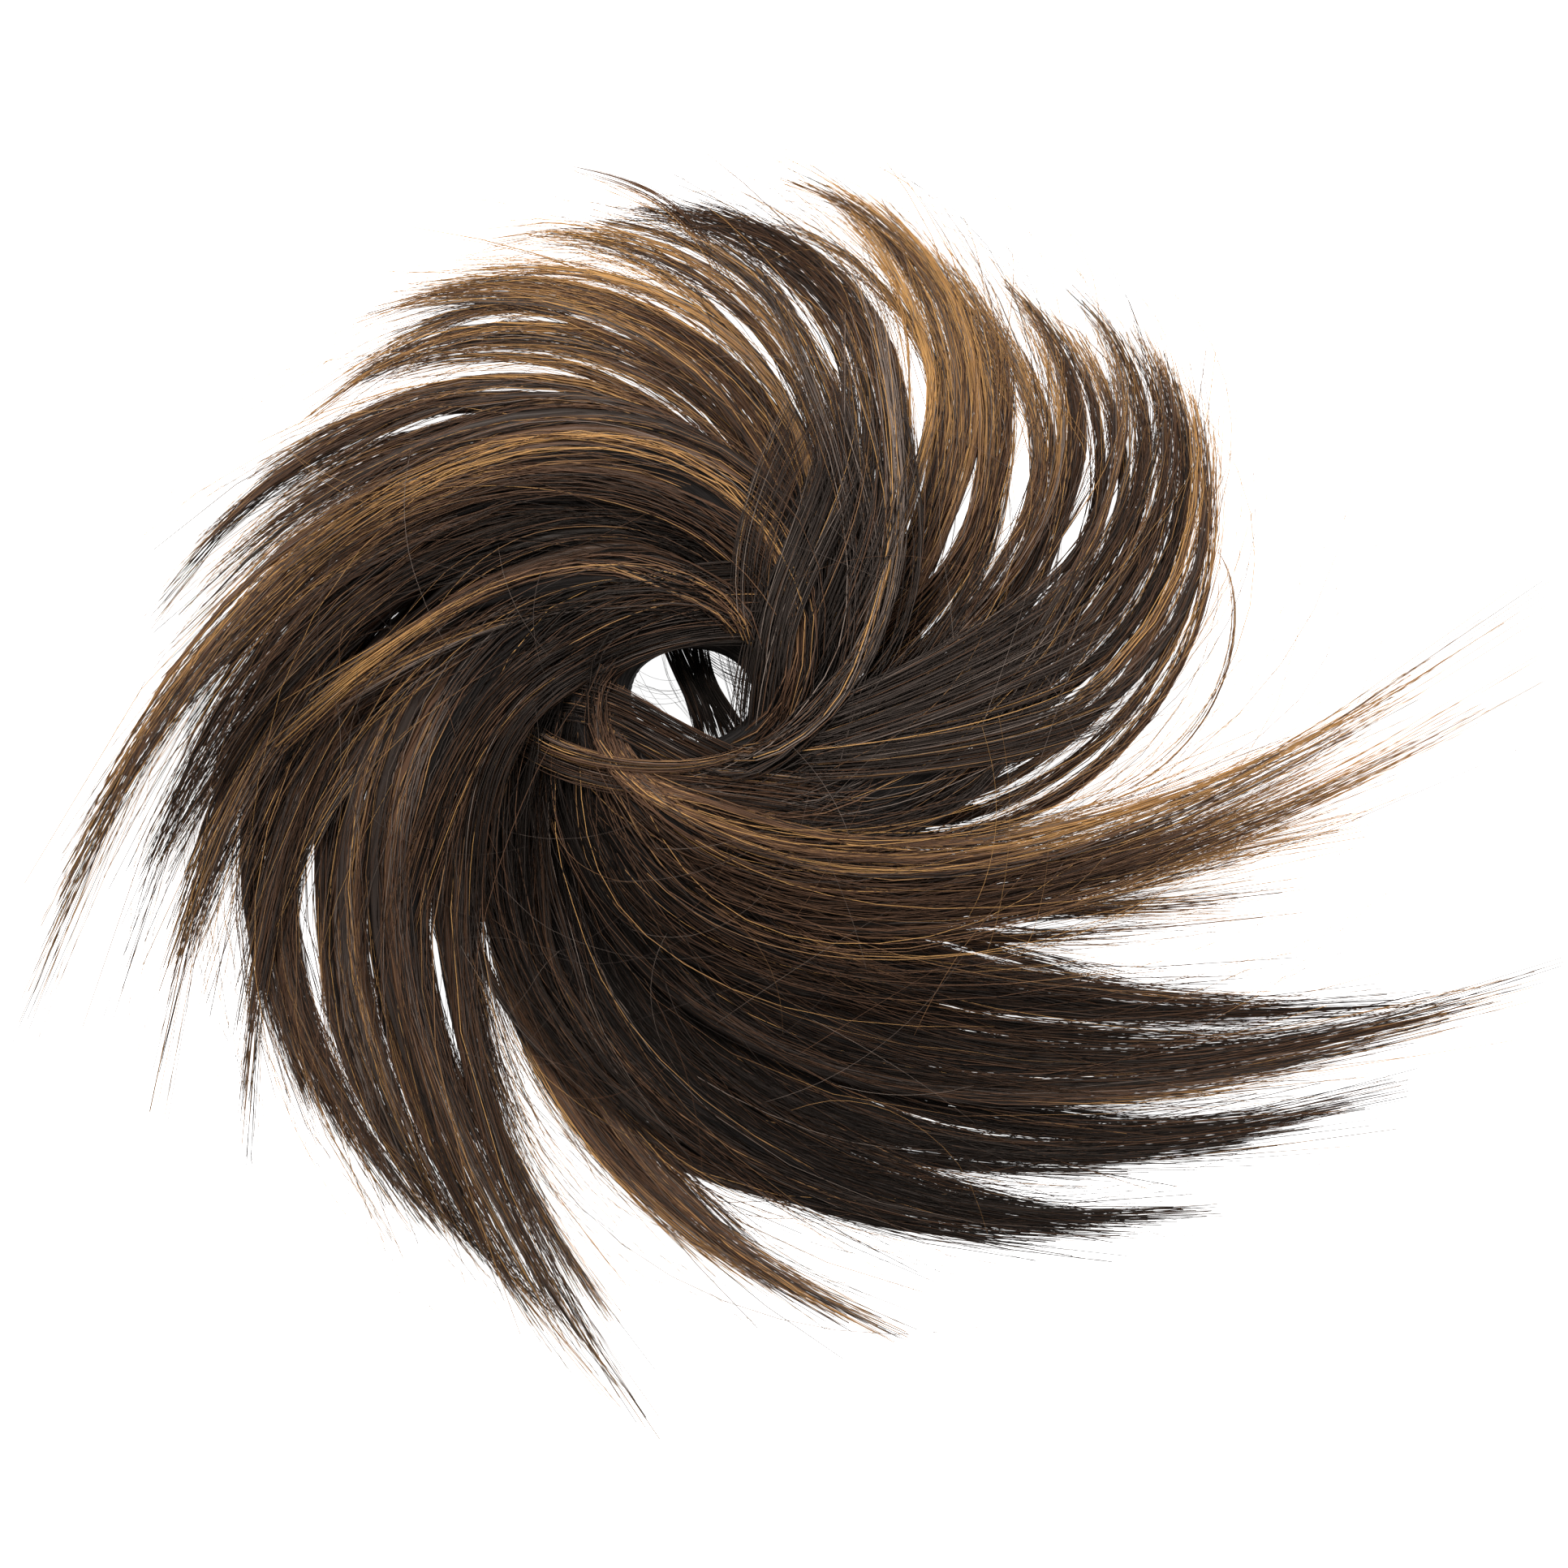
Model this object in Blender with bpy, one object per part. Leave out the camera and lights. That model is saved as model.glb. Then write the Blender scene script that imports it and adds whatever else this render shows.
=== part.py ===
"""A top knot hairpiece lying flat: an elastic loop between three stitched tiers of swept hair.

Each tier is a weft ring with its locks fused to it. Seen from above a lock follows a spiral, whose
radius grows by an even ratio for each degree that it turns round the loop. The tiers lie one on
another, thick where they are stitched and thin at the tips.
"""

import math
from collections import namedtuple

import bmesh
import bpy
import numpy as np

# Driving sizes, in metres
HAIR_REACH = 0.140       # from the middle of the loop to the tip of a lock whose reach is 1
LOCK_WIDTH = 0.019       # a lock whose width is 1, at its widest
LOWER_HEIGHT = 0.0066    # the lower tier where it is stitched
CROWN_HEIGHT = 0.0105    # the upper tier where it is stitched
TIP_HEIGHT = 0.0019      # each tier far out, at the tips
SPREAD = 0.062           # distance over which a tier falls from its ring height to its tip height
WEFT_WIDTH = 0.0092      # the stitched ring outside the elastic
HOLE_WIDTH = 0.0216      # the opening in the hair, left to right
HOLE_DEPTH = 0.0162      # the opening in the hair, front to back
BAND_WALL = 0.0030       # the elastic, across
BAND_HEIGHT = 0.0060     # the elastic, top to bottom
BAND_SHOW = 0.0004       # how far the elastic shows inside the hair, left and right
BAND_TUCK = 0.0005       # how far it is hidden under the hair, front and back
GAP = 0.0004             # between one piece and the next

# Proportions of a lock
ROOT_SHARE = 0.34        # width at the root, of its full width
TIP_SHARE = 0.16         # width at the tip, of its full width
CROWN_RING_SHARE = 0.74  # height of the upper weft ring, of its tier's, so that its locks cover it
TIP_DEPTH_SHARE = 0.55   # thickness at the tip, of its full thickness
SWELL_END = 0.40         # where a lock is full, along its length
NARROW_START = 0.50      # where it starts to narrow, along its length

# Facets
RING_STEPS = 40
LOCK_STEPS = 12
SMOOTH_ANGLE = math.radians(50)

# A lock: the directions of its root and tip round the loop, in degrees from the right hand side,
# its reach as a share of HAIR_REACH, how far it bows outward (+) or hugs the loop first (-), its
# width as a share of LOCK_WIDTH, and its underside and thickness as shares of its tier's height.
Lock = namedtuple("Lock", "root tip reach bow width lay depth")

LOWER_LOCKS = (
    # right and top fan
    Lock(-22, 50, 0.64, 1.00, 0.75, 0.34, 0.55),
    Lock(-15, 57, 0.60, 0.85, 0.80, 0.08, 0.55),
    Lock(0, 68, 0.62, 0.95, 0.65, 0.26, 0.60),
    Lock(6, 77, 0.65, 0.95, 0.60, 0.40, 0.50),
    Lock(12, 85, 0.59, 0.95, 0.60, 0.10, 0.55),
    Lock(16, 96, 0.60, 0.90, 0.80, 0.30, 0.60),
    Lock(21, 111, 0.61, 0.84, 0.50, 0.16, 0.55),
    Lock(26, 127, 0.61, 0.62, 0.70, 0.38, 0.55),
    Lock(30, 140, 0.58, 0.80, 0.80, 0.12, 0.60),
    Lock(33, 166, 0.65, 0.42, 0.35, 0.42, 0.45),
    # left
    Lock(75, 236, 0.71, 0.48, 0.85, 0.10, 0.60),
    Lock(100, 251, 0.75, 0.44, 0.85, 0.34, 0.55),
    Lock(150, 258, 0.72, 0.00, 0.45, 0.14, 0.55),
    # front
    Lock(185, 284, 0.79, 0.28, 0.55, 0.38, 0.50),
    Lock(182, 296, 0.69, 0.56, 0.65, 0.10, 0.55),
    Lock(195, 310, 0.85, 0.26, 0.95, 0.28, 0.60),
    Lock(205, 326, 0.93, 0.06, 1.00, 0.12, 0.60),
)

MIDDLE_LOCKS = (
    # right
    Lock(-60, 32, 0.71, 0.85, 0.60, 0.08, 0.55),
    Lock(-35, 37, 0.72, 0.90, 0.90, 0.32, 0.60),
    Lock(-25, 44, 0.69, 1.05, 0.90, 0.12, 0.60),
    # crown and left
    Lock(22, 164, 0.60, 0.10, 0.70, 0.15, 0.60),
    Lock(45, 210, 0.75, -0.34, 1.00, 0.36, 0.60),
    Lock(55, 219, 0.71, -0.45, 1.00, 0.10, 0.60),
    Lock(104, 257, 0.79, 0.00, 0.80, 0.28, 0.60),
    # front
    Lock(165, 268, 0.55, 0.30, 0.75, 0.12, 0.60),
    Lock(205, 339, 1.06, -0.18, 1.00, 0.34, 0.60),
    Lock(230, 334, 0.88, -0.58, 1.10, 0.10, 0.60),
    Lock(248, 338, 0.70, -0.60, 0.70, 0.38, 0.55),
    Lock(262, 346, 0.75, -0.70, 0.70, 0.14, 0.60),
)

UPPER_LOCKS = (
    # crown
    Lock(-12, 198, 0.82, -0.43, 0.90, 0.05, 0.55),
    Lock(0, 167, 0.53, -0.05, 0.75, 0.40, 0.55),
    Lock(10, 202, 0.74, -0.42, 1.05, 0.14, 0.60),
    Lock(70, 186, 0.50, -0.92, 0.90, 0.42, 0.55),
    # left
    Lock(75, 240, 0.62, -0.30, 0.75, 0.08, 0.55),
    Lock(100, 264, 0.84, -0.40, 0.95, 0.36, 0.60),
    Lock(115, 254, 0.68, -0.30, 0.65, 0.14, 0.55),
    # front and right
    Lock(190, 312, 0.50, -0.60, 1.00, 0.10, 0.60),
    Lock(235, 355, 0.84, -0.58, 0.65, 0.30, 0.60),
    Lock(215, 362, 0.88, -0.94, 0.75, 0.44, 0.54),
    Lock(290, 380, 0.50, 0.20, 0.95, 0.26, 0.60),
    Lock(0, 66, 0.46, -0.80, 0.50, 0.18, 0.50),
)

# A tier: its node, its height where it is stitched, the share of it that its ring has, its locks
Tier = namedtuple("Tier", "node ring_height ring_share locks colour roughness")

TIERS = (
    Tier("hair_lower", LOWER_HEIGHT, 1, LOWER_LOCKS, (0.045, 0.028, 0.019), 0.50),
    Tier("hair_middle", BAND_HEIGHT + GAP, 1, MIDDLE_LOCKS, (0.030, 0.020, 0.015), 0.46),
    Tier("hair_upper", CROWN_HEIGHT, CROWN_RING_SHARE, UPPER_LOCKS, (0.050, 0.028, 0.017), 0.42),
)

# The elastic's half widths inside, and the half widths of the wefts outside
BAND_INNER = (HOLE_WIDTH / 2 - BAND_SHOW, HOLE_DEPTH / 2 + BAND_TUCK)
BAND_OUTER = (BAND_INNER[0] + BAND_WALL, BAND_INNER[1] + BAND_WALL)
SEAM_INNER = (BAND_OUTER[0] + GAP, BAND_OUTER[1] + GAP)
SEAM_OUTER = (SEAM_INNER[0] + WEFT_WIDTH, SEAM_INNER[1] + WEFT_WIDTH)
HAIR_INNER = (HOLE_WIDTH / 2, HOLE_DEPTH / 2)

# Where the locks start: in the middle of the seam outside the elastic
ROOT_RADIUS = (sum(SEAM_INNER) + sum(SEAM_OUTER)) / 4

# A ring's section: share across from the inner to the outer edge, share of the height
RING_SECTION = ((0.00, 0.28), (0.12, 0.00), (0.88, 0.00), (1.00, 0.26),
                (1.00, 0.62), (0.76, 1.00), (0.24, 1.00), (0.00, 0.66))

# A lock's section: share of the half width, share of the thickness
LOCK_SECTION = ((-1.0, 0.5), (-0.5, 0.0), (0.5, 0.0), (1.0, 0.5), (0.5, 1.0), (-0.5, 1.0))


def clear_scene():
    """Remove whatever the file holds."""
    for thing in list(bpy.data.objects):
        bpy.data.objects.remove(thing, do_unlink=True)


def tier_height(tier, radius):
    """A tier's height at a radius: level over the ring, then falling to the tips."""
    fall = np.exp(-(radius / SPREAD) ** 3)
    return TIP_HEIGHT + (tier.ring_height - TIP_HEIGHT) * fall


def tier_floor(index, radius):
    """The underside of a tier: the heights of the tiers below it and their gaps."""
    below = [tier_height(tier, radius) + GAP for tier in TIERS[:index]]
    return sum(below) + 0 * radius


def height_in_tier(index, radius, share):
    """A height given as a share of the tier's own height."""
    return tier_floor(index, radius) + share * tier_height(TIERS[index], radius)


def skin(sections, closed_loop):
    """A closed mesh through equal sections, given as an array of sections, sides and xyz."""
    count, sides = sections.shape[:2]
    body = bmesh.new()
    rows = [[body.verts.new(point) for point in section] for section in sections]
    spans = count if closed_loop else count - 1
    for i in range(spans):
        here = rows[i]
        there = rows[(i + 1) % count]
        for k in range(sides):
            n = (k + 1) % sides
            body.faces.new((here[k], here[n], there[n], there[k]))
    if not closed_loop:
        body.faces.new(rows[0])
        body.faces.new(rows[-1])
    bmesh.ops.recalc_face_normals(body, faces=body.faces)
    mesh = bpy.data.meshes.new("skin")
    body.to_mesh(mesh)
    body.free()
    return mesh


def place(name, mesh):
    """Link a mesh to the scene as a named object."""
    thing = bpy.data.objects.new(name, mesh)
    bpy.context.collection.objects.link(thing)
    return thing


def oval_sections(inner, outer):
    """Plan positions round an oval ring for each point of RING_SECTION."""
    turn = np.linspace(0, 2 * math.pi, RING_STEPS, endpoint=False)
    across = np.array([point[0] for point in RING_SECTION])
    half_width = inner[0] + across * (outer[0] - inner[0])
    half_depth = inner[1] + across * (outer[1] - inner[1])
    x = np.cos(turn)[:, None] * half_width
    y = np.sin(turn)[:, None] * half_depth
    return x, y


def elastic_band():
    """The bare elastic loop, seen at the edge of the opening."""
    x, y = oval_sections(BAND_INNER, BAND_OUTER)
    share = np.array([point[1] for point in RING_SECTION])
    z = LOWER_HEIGHT + GAP + share * BAND_HEIGHT + 0 * x
    return place("elastic_band", skin(np.stack((x, y, z), axis=2), True))


def weft_ring(index):
    """The stitched ring of a tier. The middle tier's runs outside the elastic."""
    inner = SEAM_INNER if index == 1 else HAIR_INNER
    x, y = oval_sections(inner, SEAM_OUTER)
    share = np.array([point[1] for point in RING_SECTION]) * TIERS[index].ring_share
    z = height_in_tier(index, np.hypot(x, y), share)
    return place(TIERS[index].node, skin(np.stack((x, y, z), axis=2), True))


def lock_line(lock):
    """A lock's middle line from above, its sideways direction and its shares of full width."""
    along = np.linspace(0, 1, LOCK_STEPS + 1)
    turned = along ** 0.8
    angle = np.radians(lock.root + (lock.tip - lock.root) * turned)
    growth = math.log(lock.reach * HAIR_REACH / ROOT_RADIUS)
    radius = ROOT_RADIUS * np.exp(growth * (turned + lock.bow * turned * (1 - turned)))
    line = np.stack((radius * np.cos(angle), radius * np.sin(angle)), axis=1)
    ahead = np.gradient(line, axis=0)
    ahead /= np.linalg.norm(ahead, axis=1)[:, None]
    side = np.stack((-ahead[:, 1], ahead[:, 0]), axis=1)
    swell = np.clip(along / SWELL_END, 0, 1)
    swell = ROOT_SHARE + (1 - ROOT_SHARE) * swell * swell * (3 - 2 * swell)
    narrow = np.clip((along - NARROW_START) / (1 - NARROW_START), 0, 1)
    narrow = 1 - (1 - TIP_SHARE) * narrow ** 1.5
    return line, side, swell * narrow, narrow


def lock_mesh(index, lock):
    """One lock as a flat tapered strip that follows its tier's height."""
    line, side, full, narrow = lock_line(lock)
    section = np.array(LOCK_SECTION)
    half = full * lock.width * LOCK_WIDTH / 2
    plan = line[:, None, :] + side[:, None, :] * (half[:, None] * section[:, 0])[:, :, None]
    thin = TIP_DEPTH_SHARE + (1 - TIP_DEPTH_SHARE) * narrow
    share = lock.lay + lock.depth * (0.5 + (section[:, 1] - 0.5) * thin[:, None])
    z = height_in_tier(index, np.hypot(plan[:, :, 0], plan[:, :, 1]), share)
    sections = np.concatenate((plan, z[:, :, None]), axis=2)
    return skin(sections, False)


def shells(body):
    """The connected shells of a mesh, each as a list of faces."""
    unseen = set(body.faces)
    while unseen:
        shell = []
        waiting = [unseen.pop()]
        while waiting:
            face = waiting.pop()
            shell.append(face)
            beside = {other for edge in face.edges for other in edge.link_faces} & unseen
            unseen -= beside
            waiting.extend(beside)
        yield shell


def fill_pockets(mesh):
    """Fill the pockets that crossing locks close off inside the hair. Their walls face inward."""
    body = bmesh.new()
    body.from_mesh(mesh)
    for shell in list(shells(body)):
        volume = sum(face.calc_center_median().dot(face.normal) * face.calc_area() for face in shell)
        if volume < 0:
            bmesh.ops.delete(body, geom=shell, context="FACES")
    body.to_mesh(mesh)
    body.free()


def fuse(ring, meshes):
    """Fuse meshes to a ring and to each other in one Boolean union, kept as the ring's mesh."""
    bundle = bmesh.new()
    for mesh in meshes:
        bundle.from_mesh(mesh)
        bpy.data.meshes.remove(mesh)
    locks = place("locks", bpy.data.meshes.new("locks"))
    bundle.to_mesh(locks.data)
    bundle.free()
    union = ring.modifiers.new("union", "BOOLEAN")
    union.operation = "UNION"
    union.solver = "EXACT"
    union.use_self = True
    union.object = locks
    bpy.context.view_layer.update()
    evaluated = ring.evaluated_get(bpy.context.evaluated_depsgraph_get())
    fused = bpy.data.meshes.new_from_object(evaluated)
    fill_pockets(fused)
    ring.modifiers.clear()
    ring.data = fused
    bpy.data.objects.remove(locks, do_unlink=True)


def hair_tier(index):
    """One tier: its weft ring with its locks fused to it."""
    ring = weft_ring(index)
    fuse(ring, [lock_mesh(index, lock) for lock in TIERS[index].locks])
    return ring


def finish(thing, colour, roughness):
    """Give a piece its own plain material and smooth shading."""
    material = bpy.data.materials.new(thing.name)
    material.use_nodes = True
    shader = material.node_tree.nodes["Principled BSDF"]
    shader.inputs["Base Color"].default_value = (*colour, 1)
    shader.inputs["Roughness"].default_value = roughness
    shader.inputs["Metallic"].default_value = 0
    thing.data.materials.clear()
    thing.data.materials.append(material)
    thing.data.shade_smooth()
    thing.data.set_sharp_from_angle(angle=SMOOTH_ANGLE)


def centre(things):
    """Move the whole piece so that the middle of its bounding box is over the origin."""
    points = [vertex.co for thing in things for vertex in thing.data.vertices]
    shift = [-(min(p[axis] for p in points) + max(p[axis] for p in points)) / 2 for axis in (0, 1)]
    for thing in things:
        thing.location = (shift[0], shift[1], 0)


def main():
    """Build the elastic and the three tiers."""
    clear_scene()
    band = elastic_band()
    finish(band, (0.012, 0.011, 0.012), 0.80)
    things = [band]
    for index, tier in enumerate(TIERS):
        hair = hair_tier(index)
        finish(hair, tier.colour, tier.roughness)
        things.append(hair)
    centre(things)


main()
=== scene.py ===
"""The dressed top knot hairpiece: strands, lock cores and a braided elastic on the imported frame."""

import math
from collections import namedtuple

import bpy
import numpy as np
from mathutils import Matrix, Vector


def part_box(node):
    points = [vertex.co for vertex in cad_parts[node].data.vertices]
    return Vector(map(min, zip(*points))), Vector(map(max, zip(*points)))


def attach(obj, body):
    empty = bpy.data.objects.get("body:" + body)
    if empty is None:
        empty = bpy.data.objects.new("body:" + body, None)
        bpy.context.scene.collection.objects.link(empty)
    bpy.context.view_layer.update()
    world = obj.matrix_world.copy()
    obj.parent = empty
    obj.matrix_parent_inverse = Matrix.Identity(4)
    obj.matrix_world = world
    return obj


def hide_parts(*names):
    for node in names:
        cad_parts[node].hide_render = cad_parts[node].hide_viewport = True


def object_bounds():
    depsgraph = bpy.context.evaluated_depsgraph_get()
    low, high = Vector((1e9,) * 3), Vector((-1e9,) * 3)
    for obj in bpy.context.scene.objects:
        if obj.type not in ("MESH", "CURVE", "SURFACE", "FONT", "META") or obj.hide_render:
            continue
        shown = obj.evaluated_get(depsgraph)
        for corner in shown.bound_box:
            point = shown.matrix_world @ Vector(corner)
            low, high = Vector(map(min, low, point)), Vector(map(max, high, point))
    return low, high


bl_info = {
    "name": "Top Knot Hairpiece",
    "version": (1, 0),
    "blender": (4, 5, 0),
    "location": "View3D > Sidebar > Hairpiece",
    "description": "Builds the strands, lock cores and elastic of a top knot hairpiece",
    "category": "Object",
}

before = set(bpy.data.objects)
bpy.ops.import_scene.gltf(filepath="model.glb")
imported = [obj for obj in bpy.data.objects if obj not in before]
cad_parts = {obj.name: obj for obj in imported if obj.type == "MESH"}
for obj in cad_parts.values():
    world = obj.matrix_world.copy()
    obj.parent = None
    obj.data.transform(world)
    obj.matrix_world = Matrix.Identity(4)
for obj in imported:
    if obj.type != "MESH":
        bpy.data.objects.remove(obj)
CAD_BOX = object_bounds()

# The middle of the loop, from the elastic's own box
BAND_LOW, BAND_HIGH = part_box("elastic_band")
MIDDLE = np.array([(BAND_LOW[0] + BAND_HIGH[0]) / 2, (BAND_LOW[1] + BAND_HIGH[1]) / 2, 0.0])

# The part's own sizes, in metres, as part.py has them
HAIR_REACH = 0.140
LOCK_WIDTH = 0.019
LOWER_HEIGHT = 0.0066
CROWN_HEIGHT = 0.0105
TIP_HEIGHT = 0.0019
SPREAD = 0.062
WEFT_WIDTH = 0.0092
HOLE_WIDTH = 0.0216
HOLE_DEPTH = 0.0162
BAND_WALL = 0.0030
BAND_HEIGHT = 0.0060
BAND_SHOW = 0.0004
BAND_TUCK = 0.0005
GAP = 0.0004
ROOT_SHARE = 0.34
TIP_SHARE = 0.16
TIP_DEPTH_SHARE = 0.55
SWELL_END = 0.40
NARROW_START = 0.50

BAND_INNER = (HOLE_WIDTH / 2 - BAND_SHOW, HOLE_DEPTH / 2 + BAND_TUCK)
BAND_OUTER = (BAND_INNER[0] + BAND_WALL, BAND_INNER[1] + BAND_WALL)
SEAM_INNER = (BAND_OUTER[0] + GAP, BAND_OUTER[1] + GAP)
SEAM_OUTER = (SEAM_INNER[0] + WEFT_WIDTH, SEAM_INNER[1] + WEFT_WIDTH)
HAIR_INNER = (HOLE_WIDTH / 2, HOLE_DEPTH / 2)
ROOT_RADIUS = (sum(SEAM_INNER) + sum(SEAM_OUTER)) / 4
TIER_HEIGHTS = (LOWER_HEIGHT, BAND_HEIGHT + GAP, CROWN_HEIGHT)

# A weft ring: how much of its tier's height it fills, and its section across and up
RING_SHARES = (1.0, 1.0, 0.74)
RING_SECTION = ((0.00, 0.28), (0.12, 0.00), (0.88, 0.00), (1.00, 0.26),
                (1.00, 0.62), (0.76, 1.00), (0.24, 1.00), (0.00, 0.66))

# How far loose and close strands leave their wisp at the tip, and how far a stray curls
LOOSE_TIP = 0.0046
CLOSE_TIP = 0.0009
LOOSE_CHANCE = 0.16
STRAY_CURL = 0.0045

# How far strands stay off the opening, and the distance over which they rise from it
EDGE_CLEAR = (0.0002, 0.0014)
EDGE_RISE = 0.005

# How far past the solids a strand may reach
ROOM = 0.012

# The height of a wisp's body as a share of its width, and how far it stays off the floor
FLAT = 0.27
FLOOR_CLEAR = 0.0002

# The waves and the relief of the elastic's braid
BRAID_WAVES = 56
BRAID_RELIEF = 0.00011

# The grid of hair layers over the floor, and the layers that let a third of the light through
CELL = 0.0007
GRID = 520
LAYER_DEPTH = 2.2

# The view: its width and its middle from the middle of the loop, at a height over the floor
VIEW_WIDTH = 0.2705
VIEW_MIDDLE = (0.01596, -0.01526)
VIEW_HEIGHT = 0.006
SENSOR = 36.0

SLOTS = ("hair_lower", "hair_middle", "hair_upper")
STEPS = ("elastic", "cores", "lower", "middle", "upper", "wraps")

# Places and widths of the sweeps, partings and patches below are in thousandths of the hair's reach
REACH_PARTS = 1000

# The last plan of all strands, kept so that it is worked out once for all pieces
PLAN = {}

# A lock: the directions of its root and tip round the loop, in degrees, its reach, its bow, its
# width, its underside and thickness in its tier, then its finish: how light it is, the share of its
# strands that are copper, how golden its thin parts turn with a painted glow of light through them,
# and how open the gaps in it are.
Lock = namedtuple("Lock", "root tip reach bow width lay depth tone copper gold gap")

LOWER_FAN = (
    Lock(-22, 50, 0.64, 1.00, 0.75, 0.34, 0.55, 0.30, 0.50, 0.80, 0.9),
    Lock(-15, 57, 0.60, 0.85, 0.80, 0.08, 0.55, 0.30, 0.50, 0.60, 0.9),
    Lock(0, 68, 0.62, 0.95, 0.65, 0.26, 0.60, 0.30, 0.60, 0.70, 1.0),
    Lock(6, 77, 0.65, 0.95, 0.60, 0.40, 0.50, 0.35, 0.70, 0.80, 1.0),
    Lock(12, 85, 0.59, 0.95, 0.60, 0.10, 0.55, 0.25, 0.40, 0.50, 1.0),
    Lock(16, 96, 0.60, 0.90, 0.80, 0.30, 0.60, 0.25, 0.40, 0.50, 1.0),
    Lock(21, 111, 0.61, 0.84, 0.50, 0.16, 0.55, 0.25, 0.40, 0.60, 1.0),
    Lock(26, 127, 0.61, 0.62, 0.70, 0.38, 0.55, 0.30, 0.60, 0.90, 0.8),
    Lock(30, 140, 0.58, 0.80, 0.80, 0.12, 0.60, 0.30, 0.50, 0.70, 0.8),
    Lock(33, 166, 0.65, 0.42, 0.35, 0.42, 0.45, 0.30, 0.50, 0.60, 0.4),
)
LOWER_FRONT = (
    Lock(75, 236, 0.71, 0.48, 0.85, 0.10, 0.60, 0.15, 0.30, 0.60, 0.5),
    Lock(100, 251, 0.75, 0.44, 0.85, 0.34, 0.55, 0.20, 0.40, 0.60, 0.6),
    Lock(150, 258, 0.72, 0.00, 0.45, 0.14, 0.55, 0.20, 0.40, 0.50, 0.7),
    Lock(185, 284, 0.79, 0.28, 0.55, 0.38, 0.50, 0.30, 0.60, 0.60, 0.3),
    Lock(182, 296, 0.69, 0.56, 0.65, 0.10, 0.55, 0.20, 0.50, 0.40, 0.2),
    Lock(195, 310, 0.85, 0.26, 0.95, 0.28, 0.60, 0.10, 0.20, 0.40, 0.0),
    Lock(205, 326, 0.93, 0.06, 1.00, 0.12, 0.60, 0.15, 0.30, 0.40, 0.1),
)
MIDDLE_LOCKS = (
    Lock(-60, 32, 0.71, 0.85, 0.60, 0.08, 0.55, 0.25, 0.50, 0.90, 1.0),
    Lock(-35, 37, 0.72, 0.90, 0.90, 0.32, 0.60, 0.25, 0.40, 0.90, 1.0),
    Lock(-25, 44, 0.69, 1.05, 0.90, 0.12, 0.60, 0.25, 0.40, 0.60, 1.0),
    Lock(22, 164, 0.60, 0.10, 0.70, 0.15, 0.60, 0.30, 0.50, 0.60, 0.5),
    Lock(45, 210, 0.75, -0.34, 1.00, 0.36, 0.60, 0.15, 0.30, 0.80, 0.0),
    Lock(55, 219, 0.71, -0.45, 1.00, 0.10, 0.60, 0.15, 0.40, 0.80, 0.0),
    Lock(104, 257, 0.80, 0.00, 0.66, 0.28, 0.60, 0.20, 0.50, 0.80, 0.1),
    Lock(165, 268, 0.55, 0.30, 0.75, 0.12, 0.60, 0.20, 0.30, 0.40, 0.6),
    Lock(205, 339, 1.05, -0.27, 1.00, 0.34, 0.60, 0.20, 0.30, 0.70, 0.0),
    Lock(230, 334, 0.88, -0.58, 1.10, 0.10, 0.60, 0.15, 0.30, 0.50, 0.0),
    Lock(248, 338, 0.70, -0.60, 0.70, 0.38, 0.55, 0.25, 0.40, 0.60, 0.3),
    Lock(262, 346, 0.75, -0.70, 0.70, 0.14, 0.60, 0.30, 0.60, 0.90, 0.7),
)
UPPER_LOCKS = (
    Lock(-12, 198, 0.82, -0.43, 0.90, 0.05, 0.55, 0.25, 0.50, 0.70, 0.4),
    Lock(0, 167, 0.53, -0.05, 0.75, 0.40, 0.55, 0.36, 0.80, 0.70, 0.3),
    Lock(10, 202, 0.74, -0.42, 1.05, 0.14, 0.60, 0.20, 0.40, 0.60, 0.4),
    Lock(70, 186, 0.50, -0.92, 0.90, 0.42, 0.55, 0.35, 0.60, 0.60, 0.2),
    Lock(75, 240, 0.62, -0.30, 0.75, 0.08, 0.55, 0.25, 0.50, 0.50, 0.5),
    Lock(100, 264, 0.86, -0.40, 0.82, 0.36, 0.60, 0.25, 0.50, 0.80, 0.1),
    Lock(115, 254, 0.68, -0.30, 0.65, 0.14, 0.55, 0.25, 0.40, 0.50, 0.5),
    Lock(190, 312, 0.50, -0.60, 1.00, 0.10, 0.60, 0.40, 0.70, 0.40, 0.0),
    Lock(235, 357, 0.92, -0.60, 0.85, 0.30, 0.60, 0.46, 0.80, 1.00, 1.1),
    Lock(215, 363, 0.95, -0.92, 0.90, 0.44, 0.54, 0.46, 0.80, 1.00, 1.1),
    Lock(290, 380, 0.50, 0.20, 0.95, 0.26, 0.60, 0.30, 0.15, 0.40, 0.3),
    Lock(0, 66, 0.46, -0.80, 0.50, 0.18, 0.50, 0.35, 0.10, 0.30, 0.9),
)

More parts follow.
